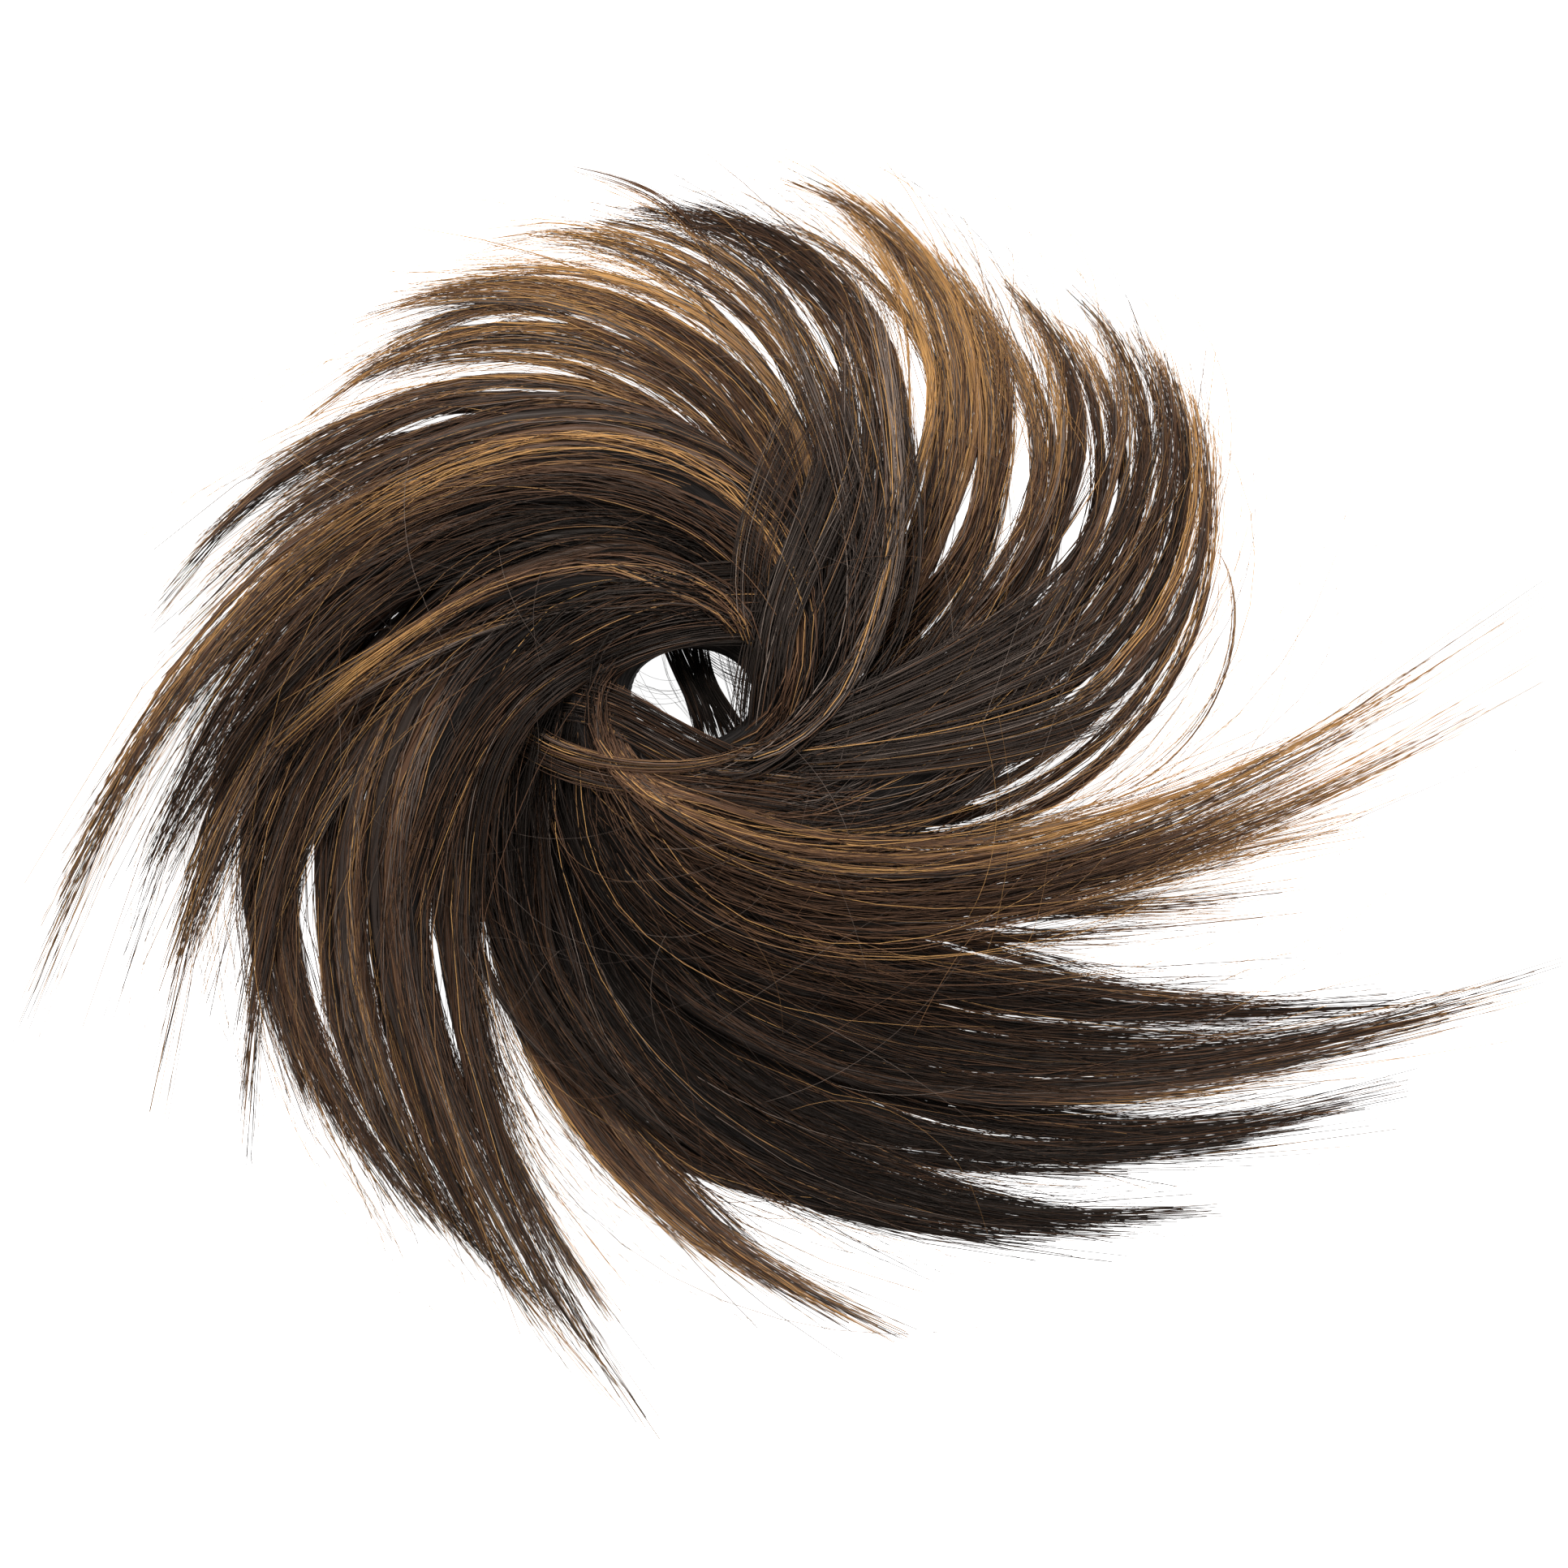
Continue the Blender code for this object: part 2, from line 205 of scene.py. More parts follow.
# Locks that hug the loop on top of the weft and cover it
WRAPS = (
    Lock(15, 172, 0.32, -1.70, 0.70, 0.40, 0.50, 0.10, 0.30, 0.10, 0.2),
    Lock(45, 200, 0.34, -1.80, 0.80, 0.34, 0.50, 0.05, 0.30, 0.10, 0.2),
    Lock(80, 236, 0.36, -1.80, 0.80, 0.42, 0.50, 0.05, 0.30, 0.10, 0.2),
    Lock(115, 268, 0.36, -1.80, 0.80, 0.36, 0.50, 0.05, 0.20, 0.10, 0.2),
    Lock(150, 300, 0.40, -1.70, 0.80, 0.40, 0.55, 0.20, 0.60, 0.20, 0.2),
    Lock(185, 322, 0.42, -1.50, 0.70, 0.46, 0.54, 0.35, 0.80, 0.20, 0.2),
    Lock(215, 345, 0.40, -1.40, 0.70, 0.44, 0.50, 0.25, 0.30, 0.20, 0.2),
    Lock(250, 385, 0.40, -1.40, 0.80, 0.40, 0.50, 0.20, 0.15, 0.20, 0.2),
    Lock(285, 425, 0.42, -1.30, 0.80, 0.46, 0.50, 0.25, 0.10, 0.20, 0.2),
    Lock(315, 438, 0.50, -0.90, 0.60, 0.56, 0.44, 0.30, 0.10, 0.30, 0.2),
    Lock(340, 490, 0.36, -1.60, 0.70, 0.40, 0.50, 0.20, 0.30, 0.20, 0.2),
    Lock(-28, 66, 0.54, -0.25, 0.50, 0.55, 0.45, 0.30, 0.10, 0.30, 0.2),
)

# A group of strands: its piece, its locks and their tier, its full count, its seed and the rings
# of each strand
Bundle = namedtuple("Bundle", "name locks tier strands seed rings")

BUNDLES = (
    Bundle("hair_lower_fan", LOWER_FAN, 0, 1850, 11, 11),
    Bundle("hair_lower_front", LOWER_FRONT, 0, 2340, 12, 11),
    Bundle("hair_middle_strands", MIDDLE_LOCKS, 1, 2500, 13, 11),
    Bundle("hair_upper_strands", UPPER_LOCKS, 2, 2300, 14, 12),
    Bundle("hair_upper_wraps", WRAPS, 2, 600, 15, 14),
)
STRAYS = (
    Bundle("hair_lower_strays", LOWER_FAN + LOWER_FRONT, 0, 480, 16, 14),
    Bundle("hair_middle_strays", MIDDLE_LOCKS, 1, 240, 17, 14),
    Bundle("hair_upper_strays", UPPER_LOCKS, 2, 280, 18, 14),
)
SWEEP_RINGS = 13
SWEEP_SEED = 20
BODY_RINGS = 17

# The stray hairs on top: how many, how long, and their heading from the line outwards with its
# spread, in radians
FLY_COUNT = 140
FLY_SEED = 31
FLY_LENGTH = (0.016, 0.044)
FLY_HEADING = math.radians(75)
FLY_SPREAD = 0.65

# A sweep: a free bundle through four places from the middle of the loop, its widths at both ends,
# its strands, its tier and height there, and its finish
Sweep = namedtuple("Sweep", "x1 y1 x2 y2 x3 y3 x4 y4 start end strands tier lay tone copper thick")

SWEEPS = (
    # across the opening
    Sweep(-30, 85, -2, 22, 14, -13, 34, -75, 28, 40, 150, 1, 0.6, 0.02, 0.1, 1.0),
    Sweep(8, 85, 20, 17, 43, -23, 68, -75, 18, 24, 60, 1, 0.7, 0.05, 0.1, 1.0),
    Sweep(-20, 80, 22, 48, 52, 32, 100, 18, 22, 30, 12, 1, 0.8, 0.10, 0.1, 0.5),
    Sweep(5, 45, 35, 22, 62, 10, 100, -4, 20, 26, 8, 1, 0.8, 0.10, 0.1, 0.5),
    Sweep(40, 80, 52, 30, 62, -12, 74, -70, 30, 26, 14, 1, 0.8, 0.08, 0.1, 0.6),
    Sweep(-100, 40, -60, 12, -20, 6, 30, 24, 40, 30, 6, 1, 0.7, 0.10, 0.1, 0.3),
    Sweep(-90, -10, -50, 0, -15, -30, 10, -70, 50, 50, 6, 1, 0.7, 0.10, 0.1, 0.3),
    Sweep(-60, 80, -50, 30, -30, -10, 10, -60, 50, 30, 6, 1, 0.7, 0.10, 0.1, 0.3),
    # over the lower left edge of the opening
    Sweep(-205, -2, -92, -21, 0, -70, 130, -115, 60, 50, 170, 2, 0.88, 0.22, 0.5, 0.9),
    Sweep(-212, -36, -120, -80, 0, -88, 90, -55, 26, 10, 44, 2, 1.0, 0.56, 0.9, 0.8),
    Sweep(-222, -46, -110, -95, 40, -115, 250, -150, 40, 60, 90, 2, 0.90, 0.38, 0.8, 0.8),
    Sweep(-60, 78, -200, 8, -272, -110, -290, -280, 60, 90, 170, 2, 1.0, 0.18, 0.4, 0.9),
    Sweep(-110, 60, -225, -10, -300, -130, -350, -300, 40, 60, 60, 2, 1.0, 0.36, 0.8, 0.8),
    # upright beside the opening
    Sweep(75, -90, 90, 50, 130, 170, 200, 300, 50, 70, 130, 2, 0.92, 0.24, 0.05, 0.9),
    Sweep(110, -60, 105, 80, 150, 200, 190, 330, 40, 60, 110, 2, 0.96, 0.36, 0.10, 0.8),
    Sweep(140, 0, 190, 120, 230, 220, 250, 360, 50, 80, 100, 2, 0.92, 0.30, 0.10, 0.8),
    Sweep(90, 20, 70, 140, 100, 260, 170, 400, 40, 70, 60, 2, 0.98, 0.34, 0.30, 0.6),
    # along the upper edge of the opening
    Sweep(150, 85, 50, 90, -70, 70, -210, -10, 50, 60, 150, 2, 0.85, 0.10, 0.3, 0.9),
    Sweep(130, 130, 50, 135, -90, 105, -260, -10, 50, 70, 150, 2, 0.88, 0.16, 0.5, 0.9),
    # towards the right
    Sweep(60, -75, 210, -25, 350, 35, 490, 115, 50, 110, 150, 2, 0.92, 0.48, 0.05, 0.8),
    Sweep(50, -85, 220, -75, 390, -45, 540, 15, 40, 90, 130, 2, 0.92, 0.44, 0.10, 0.8),
    # thin arcs at the edge
    Sweep(500, -130, 622, -40, 668, 75, 655, 170, 16, 4, 10, 1, 0.6, 0.50, 0.8, 0.8),
    Sweep(-250, 370, -400, 335, -530, 260, -640, 150, 20, 12, 18, 1, 0.8, 0.40, 0.6, 0.8),
    Sweep(50, 500, 0, 580, -60, 625, -140, 650, 20, 12, 16, 0, 0.9, 0.40, 0.6, 0.8),
)

# A parting: a narrow opening between the hairs along a bend through three places from the middle
# of the loop, and half of its width there
Parting = namedtuple("Parting", "x1 y1 x2 y2 x3 y3 half")

PARTINGS = (
    Parting(-480, 10, -385, 85, -280, 155, 14),
    Parting(-415, -90, -480, -300, -450, -560, 16),
    Parting(-285, -160, -320, -340, -250, -530, 13),
    Parting(-100, -190, -165, -310, -140, -430, 15),
    Parting(-430, 300, -320, 345, -230, 350, 10),
    Parting(130, -480, 290, -570, 430, -625, 8),
    Parting(300, -258, 440, -285, 600, -285, 12),
    Parting(330, -425, 400, -440, 480, -455, 6),
    Parting(0, -440, 80, -520, 160, -580, 8),
    Parting(285, 135, 335, 215, 350, 300, 13),
    Parting(350, 170, 410, 260, 405, 400, 16),
    Parting(420, 105, 475, 200, 478, 310, 14),
    Parting(495, 165, 528, 250, 520, 360, 8),
    Parting(585, 120, 625, 200, 610, 330, 6),
    Parting(210, 240, 285, 370, 260, 490, 15),
    Parting(120, 300, 170, 430, 140, 550, 13),
    Parting(-50, 340, 10, 390, 30, 470, 8),
    Parting(560, 60, 590, 90, 620, 140, 6),
)

# Lighter and darker places from the middle of the loop, their size and how much lighter they are: partly
# the hair's own tone, partly painted highlight where the crown shines and painted shade in the dark
# places
Patch = namedtuple("Patch", "x y size shift")

LIGHT_AND_TONE_PATCHES = (
    Patch(78, 200, 40, 0.16),
    Patch(18, 257, 34, 0.20),
    Patch(-52, 292, 36, 0.22),
    Patch(-130, 306, 32, 0.20),
    Patch(-202, 304, 32, 0.20),
    Patch(-278, 286, 40, 0.24),
    Patch(-350, 250, 48, 0.26),
    Patch(30, 130, 60, -0.20),
    Patch(-30, 205, 55, -0.30),
    Patch(-120, 225, 55, -0.32),
    Patch(-220, 205, 60, -0.32),
    Patch(-330, 160, 70, -0.22),
    Patch(-170, 170, 80, -0.15),
    Patch(-300, 60, 90, -0.06),
    Patch(-160, 10, 120, -0.32),
    Patch(150, -20, 100, -0.16),
    Patch(-315, -60, 110, 0.42),
    Patch(-80, -220, 160, -0.15),
    Patch(350, -400, 240, -0.26),
    Patch(60, -290, 160, -0.18),
    Patch(-400, -370, 120, 0.10),
    Patch(-480, 100, 100, 0.10),
    Patch(340, 40, 140, 0.08),
    Patch(650, -400, 180, -0.08),
    Patch(-630, -40, 110, -0.18),
    Patch(-120, 460, 120, 0.28),
    Patch(280, 390, 180, 0.38),
    Patch(-30, -100, 90, 0.24),
    Patch(150, -170, 90, 0.14),
)


def tier_height(index, radius):
    """A tier's height: tip height plus the rest times exp of minus (radius / spread) cubed."""
    fall = np.exp(-(radius / SPREAD) ** 3)
    return TIP_HEIGHT + (TIER_HEIGHTS[index] - TIP_HEIGHT) * fall


def height_in_tier(index, radius, share):
    """The heights of the tiers below and their gaps, plus a share of the tier's own height."""
    below = sum(tier_height(i, radius) + GAP for i in range(index))
    return below + share * tier_height(index, radius)


def oval(angle, half_widths):
    """Distance from the middle to an oval's edge in a direction."""
    return 1 / np.hypot(np.cos(angle) / half_widths[0], np.sin(angle) / half_widths[1])


def spiral(along, root, tip, reach, bow):
    """The direction and radius along a lock, as in part.py, and before its root.

    With s = along to the power 0.8 the direction is root + (tip - root) s, and the radius is
    ROOT_RADIUS times exp(growth (s + bow s (1 - s))), which ends at reach times HAIR_REACH.
    Before the root s is negative, and the radius falls to the edge of the opening by a smooth step.
    """
    turned = np.sign(along) * np.abs(along) ** 0.8
    angle = np.radians(root + (tip - root) * turned)
    growth = np.log(reach * HAIR_REACH / ROOT_RADIUS)
    ahead = np.maximum(turned, 0)
    radius = ROOT_RADIUS * np.exp(growth * (ahead + bow * ahead * (1 - ahead)))
    return angle, radius * (1 - 0.36 * smooth(-turned / 0.34))


def smooth(value):
    """Smooth step from 0 to 1: v squared times (3 - 2 v)."""
    value = np.clip(value, 0, 1)
    return value * value * (3 - 2 * value)


def half_width(along, lock_width):
    """Half of a lock's width: it swells from its root share and narrows to its tip share."""
    swell = ROOT_SHARE + (1 - ROOT_SHARE) * smooth(along / SWELL_END)
    narrow = np.clip((along - NARROW_START) / (1 - NARROW_START), 0, 1)
    return swell * (1 - (1 - TIP_SHARE) * narrow ** 1.5) * lock_width * LOCK_WIDTH / 2


def unit(vectors):
    """Vectors divided by their lengths."""
    return vectors / np.maximum(np.linalg.norm(vectors, axis=-1, keepdims=True), 1e-9)


def sideways(line):
    """Unit vectors to the left of a line in plan."""
    ahead = unit(np.gradient(line, axis=-2))
    return np.stack((-ahead[..., 1], ahead[..., 0]), axis=-1)


def tube_faces(rings, sides):
    """The quads round an open tube of rings and sides."""
    ring = np.arange(rings - 1)[:, None]
    side = np.arange(sides)[None]
    following = (side + 1) % sides
    quads = np.stack((ring * sides + side, (ring + 1) * sides + side,
                      (ring + 1) * sides + following, ring * sides + following), axis=-1)
    return quads.reshape(-1, 4)


def tubes(lines, radii, rolls, sides=3, flat=1.0):
    """Closed tubes along lines: a point is line + radius (cos t across + flat sin t up).

    lines is strands, rings and xyz; radii is strands and rings; t runs round the tube. Returns
    points, quads and the end caps.
    """
    count, rings = radii.shape
    ahead = unit(np.gradient(lines, axis=1))
    across = unit(np.cross(ahead, np.array([0.0, 0.0, 1.0])))
    up = np.cross(across, ahead)
    turn = rolls[:, None, None] + np.arange(sides) * 2 * math.pi / sides
    wide = (radii[:, :, None] * np.cos(turn))[..., None] * across[:, :, None]
    tall = (flat * radii[:, :, None] * np.sin(turn))[..., None] * up[:, :, None]
    points = lines[:, :, None] + wide + tall
    start = np.arange(count)[:, None, None] * rings * sides
    quads = tube_faces(rings, sides)[None] + start
    first = np.arange(sides)[None] + start[:, 0]
    last = (rings * sides - 1 - np.arange(sides))[None] + start[:, 0]
    return points.reshape(-1, 3), quads.reshape(-1, 4), np.concatenate((first, last))


def new_mesh(name, points, quads, caps, uv):
    """A smooth mesh from whole arrays, with the UV map that its material reads."""
    mesh = bpy.data.meshes.new(name)
    mesh.vertices.add(len(points))
    mesh.vertices.foreach_set("co", np.ascontiguousarray(points, np.float32).ravel())
    corners = np.concatenate((quads.ravel(), caps.ravel())).astype(np.int32)
    sizes = np.concatenate((np.full(len(quads), 4), np.full(len(caps), caps.shape[1])))
    starts = np.concatenate(([0], np.cumsum(sizes)[:-1])).astype(np.int32)
    mesh.loops.add(len(corners))
    mesh.loops.foreach_set("vertex_index", corners)
    mesh.polygons.add(len(sizes))
    mesh.polygons.foreach_set("loop_start", starts)
    mesh.polygons.foreach_set("use_smooth", np.ones(len(sizes), bool))
    layer = mesh.uv_layers.new(name="OFBake")
    layer.uv.foreach_set("vector", np.ascontiguousarray(uv[corners], np.float32).ravel())
    mesh.update(calc_edges=True)
    mesh.validate()
    return mesh


def add_piece(name, mesh, material, node):
    """Link a finished mesh, ride it on the frame and hide the node it stands for."""
    piece = bpy.data.objects.new(name, mesh)
    bpy.context.collection.objects.link(piece)
    mesh.materials.append(material)
    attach(piece, "root")
    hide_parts(node)


def strand_mesh(name, lines, widths, tones, rng):
    """A mesh of strands. u runs from root to tip; v is a strand's tone, with a little width."""
    count, rings = widths.shape
    points, quads, caps = tubes(lines, widths / 2, rng.uniform(0, 2 * math.pi, count))
    u = np.broadcast_to(np.linspace(0.01, 0.99, rings)[None, :, None], (count, rings, 3))
    v = np.broadcast_to(tones[:, :, None] + np.array([-0.003, 0.0, 0.003]), (count, rings, 3))
    uv = np.stack((u, v), axis=-1).reshape(-1, 2)
    return new_mesh(name, points, quads, caps, uv)


def to_world(angle, radius, height):
    """Points from a direction, radius and height round the loop."""
    plan = np.stack((radius * np.cos(angle), radius * np.sin(angle), height), axis=-1)
    return plan + MIDDLE


def bend_aside(angle, radius, offset):
    """The direction and radius of a line after a move sideways by an offset."""
    line = np.stack((radius * np.cos(angle), radius * np.sin(angle)), axis=-1)
    line = line + sideways(line) * offset[..., None]
    angle = np.arctan2(line[..., 1], line[..., 0])
    return angle, np.hypot(line[..., 0], line[..., 1])


def shade(lines):
    """Lighter and darker places of the whole piece, partly the hair's own tone and partly painted
    highlight and painted shade: a sum of soft round patches.

    A patch adds its shift times exp of minus (distance / size) squared.
    """
    plan = (lines[..., :2] - MIDDLE[:2]) / HAIR_REACH
    total = np.zeros(plan.shape[:-1])
    for patch in LIGHT_AND_TONE_PATCHES:
        x, y, size = (value / REACH_PARTS for value in patch[:3])
        far = (plan[..., 0] - x) ** 2 + (plan[..., 1] - y) ** 2
        total += patch.shift * np.exp(-far / size ** 2)
    return total


def part_hair(lines):
    """Lines pushed off the partings, all rings of a strand to the same side.

    At a distance d from a parting's bend the push is half - |d| / 3, down to nothing, and half
    grows and falls along the bend by sin of pi times the share of its length.
    """
    plan = (lines[..., :2] - MIDDLE[:2]) / HAIR_REACH
    steps = 14
    t = np.linspace(0, 1, steps + 1)[:, None]
    for parting in PARTINGS:
        first, middle, last = np.array(parting[:6]).reshape(3, 2) / REACH_PARTS
        bend = first * (1 - t) * (1 - 2 * t) + middle * 4 * t * (1 - t) + last * t * (2 * t - 1)
        normal = sideways(bend)
        near = np.argmin(((plan[..., None, :] - bend) ** 2).sum(-1), axis=-1)
        apart = ((plan - bend[near]) * normal[near]).sum(-1)
        half = parting.half / REACH_PARTS * np.sin(math.pi * near / steps)
        push = np.maximum(half - np.abs(apart) / 3, 0)
        side = np.sign((apart * push).sum(-1, keepdims=True) + 1e-12)
        plan = plan + normal[near] * (side * push)[..., None]
    return np.concatenate((plan * HAIR_REACH + MIDDLE[:2], lines[..., 2:]), axis=-1)


def lay_down(angle, radius, share, index, rng):
    """World points of strands from their plan and their share of the tier's height.

    Strands stay outside the opening, and sink to half of their height at its edge.
    """
    edge = oval(angle, HAIR_INNER)
    radius = np.maximum(radius, edge + rng.uniform(*EDGE_CLEAR, (len(radius), 1)))
    sink = 0.50 + 0.50 * smooth((radius - edge) / EDGE_RISE)
    return to_world(angle, radius, height_in_tier(index, radius, share * sink))


Wisps = namedtuple("Wisps", "place depth length drift phase lift")


def wisp_layout(lock, rng):
    """The wisps of a lock: places across it and in its depth, lengths, sway and lightness.

    A wide lock has more of them and an open one fewer. Those near its sides are shorter, one in the
    middle is the longest, and those on top are lighter and those deep in it darker, as painted shade.
    """
    count = max(3, int(round(lock.width * (8.5 - 1.5 * lock.gap))))
    place = np.linspace(-0.90, 0.90, count) + rng.normal(0, 0.05, count)
    depth = rng.uniform(0.10, 0.90, count)
    length = 1.04 - 0.11 * np.abs(place) ** 1.5 - rng.uniform(0, 0.07, count)
    length[np.argmin(np.abs(place))] = 1.05
    # A wisp's lightness: at random, plus painted shade that makes it lighter on top of the lock and
    # darker deep in it
    lift = rng.normal(0, 0.13, count) + 0.24 * (depth - 0.55)
    return Wisps(place, depth, length, rng.normal(0, 0.10, count), rng.uniform(0, 0.4, count), lift)


def wisp_sway(wisps, wisp, share):
    """How far a wisp leaves its place: its drift times sin of pi (1.7 share + phase)."""
    return wisps.drift[wisp][:, None] * np.sin(math.pi * (share * 1.7 + wisps.phase[wisp][:, None]))


def lock_strands(lock, index, count, rings, rng, settings, wisps):
    """The strands of one lock, gathered into wisps that end in points.

    A strand's place across its lock starts anywhere at the root and is drawn to its wisp's place by
    a smooth step. Past 0.45 of its length it strays, by the square of how far it has gone from there.
    """
    wisp = rng.integers(0, len(wisps.place), count)
    own = rng.uniform(-1, 1, count)
    # Most strands end near their wisp's end, and a few up to a third before it
    end = wisps.length[wisp] * (1.01 - rng.beta(0.8, 4.0, count) * 0.32)
    # In the upper tier they start before the root, at the edge of the opening
    start = -rng.uniform(0.02, 0.24, count) if index == 2 else rng.uniform(0.0, 0.2, count)
    share = np.linspace(0, 1, rings)[None]
    along = start[:, None] + share * (end - start)[:, None]
    # An open lock gathers sooner and into narrower wisps
    gather = smooth(np.maximum(along, 0) / (0.60 - 0.32 * lock.gap))
    spread = (0.55 - 0.28 * lock.gap) / len(wisps.place) * (1.5 - 0.9 * share)
    spread = rng.normal(0, 1, count)[:, None] * spread
    place = wisps.place[wisp][:, None] + wisp_sway(wisps, wisp, share)
    across = own[:, None] * (1 - gather) + place * gather + spread
    half = half_width(np.maximum(along, 0), lock.width)
    fray = np.clip((share - 0.45) / 0.55, 0, 1) ** 2
    loose = np.where(rng.random(count) < LOOSE_CHANCE, LOOSE_TIP, CLOSE_TIP) * settings.frizz
    offset = across * half + (rng.normal(0.15, 1, count) * loose)[:, None] * fray
    turn = rng.normal(0, 0.5, count)[:, None]
    angle, radius = spiral(along, lock.root + turn, lock.tip + turn, lock.reach, lock.bow)
    angle, radius = bend_aside(angle, radius, offset)
    # Strands fill the lock's thickness near their wisp's place in it, and less of it at the tip
    tall = np.clip(wisps.depth[wisp] + rng.normal(0.04, 0.22, count), 0.02, 1.0)
    thin = TIP_DEPTH_SHARE + (1 - TIP_DEPTH_SHARE) * (1 - share)
    height = lock.lay + lock.depth * (0.5 + (tall[:, None] - 0.5) * thin)
    lines = lay_down(angle, radius, height, index, rng)
    # A strand keeps its width over 0.55 of its length, and its tip about half of it
    taper = np.clip((1 - share) / 0.45, 0, 1) ** 0.7
    taper = taper + (0.55 - 0.12 * lock.gap) * (1 - taper)
    widths = settings.strand_width * rng.uniform(0.60, 1.20, count)[:, None] * taper
    copper = rng.random(count) < lock.copper
    # Lighter on top of the lock and darker low in it as painted shade, lighter in a light wisp, with the
    # patches' painted highlight and shade, and towards the tip a painted glow of light through thin hair
    # by the lock's gold
    light = lock.tone + rng.exponential(0.12, count) - 0.16 + wisps.lift[wisp] + 0.34 * (tall - 0.62)
    light = light[:, None] + shade(lines) + 0.22 * lock.gold * smooth((share - 0.55) / 0.45)
    return lines, widths, light, copper, np.full(count, lock.gold)


def wisp_bodies(lock, index, wisps):
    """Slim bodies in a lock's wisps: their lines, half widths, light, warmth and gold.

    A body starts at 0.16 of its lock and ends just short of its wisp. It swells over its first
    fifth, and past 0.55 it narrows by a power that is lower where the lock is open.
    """
    count = len(wisps.place)
    share = np.linspace(0, 1, BODY_RINGS)[None]
    along = 0.16 + share * (wisps.length[:, None] * 0.97 - 0.16)
    wisp = np.arange(count)
    half = half_width(along, lock.width)
    offset = (wisps.place[:, None] + wisp_sway(wisps, wisp, along / wisps.length[:, None])) * half
    angle, radius = spiral(along, lock.root, lock.tip, lock.reach, lock.bow)
    angle, radius = bend_aside(angle, radius, offset)
    thin = TIP_DEPTH_SHARE + (1 - TIP_DEPTH_SHARE) * (1 - share)
    height = lock.lay + lock.depth * (0.42 + (wisps.depth[:, None] * 0.6 - 0.42) * thin)
    lines = to_world(angle, radius, height_in_tier(index, radius, height))
    fall = 1 - np.clip((share - 0.55) / 0.45, 0, 1) ** (3.2 - 1.8 * lock.gap)
    part = 0.84 - 0.56 * lock.gap
    radii = half * part / count * 1.7 * (0.35 + 0.65 * smooth(share / 0.2)) * (0.03 + 0.97 * fall)
    lines = smooth_lines(part_hair(lines))
    lines[..., 2] = np.maximum(lines[..., 2], radii * FLAT + FLOOR_CLEAR)
    # Lightness: the wisp's lift with its painted shade, the patches' painted highlight and shade, and
    # towards the tip a painted glow of light through thin hair by the lock's gold
    light = lock.tone - 0.10 + wisps.lift[:, None] + shade(lines) + 0.18 * lock.gold * share
    light = np.minimum(light, 0.30 + 0.3 * lock.gold ** 4)
    return lines, radii, light, wisp % 3 > 0, np.full(count, 0.6 * lock.gold)


def stray_strands(locks, index, count, rings, rng, settings, stray, reach):
    """Loose strands: each takes a lock's line, or one between two locks, and leaves it a little.

    stray says how much it leaves that line by, and reach how far along it a strand can end. Strands
    are thinner than those in the locks, and lie near the top of their lock or just over it.
    """
    table = np.array([lock[:10] for lock in locks])
    first = rng.integers(0, len(locks), count)
    second = np.clip(first + rng.choice((-1, 0, 1), count), 0, len(locks) - 1)
    part = rng.uniform(0, 1, count)[:, None]
    row = table[first] * (1 - part) + table[second] * part
    root, tip, far, bow, width, lay, depth, tone, copper, gold = (column[:, None] for column in row.T)
    root = root + rng.normal(0, 9, (count, 1)) * stray
    tip = tip + rng.normal(0, 8, (count, 1)) * stray
    bow = bow + rng.normal(0, 0.22, (count, 1)) * stray
    far = far * (1 + rng.normal(0, 0.05, (count, 1)) * stray)
    start = rng.uniform(0.0, 0.45, (count, 1))
    far = np.minimum(far, 0.96)
    end = reach - rng.beta(1.0, 2.5, (count, 1)) * 0.40
    share = np.linspace(0, 1, rings)[None]
    along = start + (end - start) * share
    across = rng.uniform(-1.1, 1.1, (count, 1)) * half_width(along, width)
    curl = rng.normal(0, STRAY_CURL, (count, 1)) * stray * np.clip((share - 0.4) / 0.6, 0, 1) ** 2
    angle, radius = spiral(along, root, tip, far, bow)
    angle, radius = bend_aside(angle, radius, across + curl)
    height = np.clip(lay + depth * rng.uniform(0.6, 1.1, (count, 1)), 0, 1.0) + 0 * share
    lines = lay_down(angle, radius, height, index, rng)
    taper = np.clip((1 - share) / 0.5, 0, 1) ** 0.8
    widths = settings.strand_width * rng.uniform(0.42, 0.70, (count, 1)) * (0.3 + 0.7 * taper)
    is_copper = rng.random(count) < np.clip(copper[:, 0] + 0.15, 0, 1)
    # Lightness at random, plus 0.6 of the patches' painted highlight and painted shade
    light = tone - 0.02 + rng.exponential(0.18, (count, 1)) + 0.6 * shade(lines)
    return lines, widths, light, is_copper, gold[:, 0]


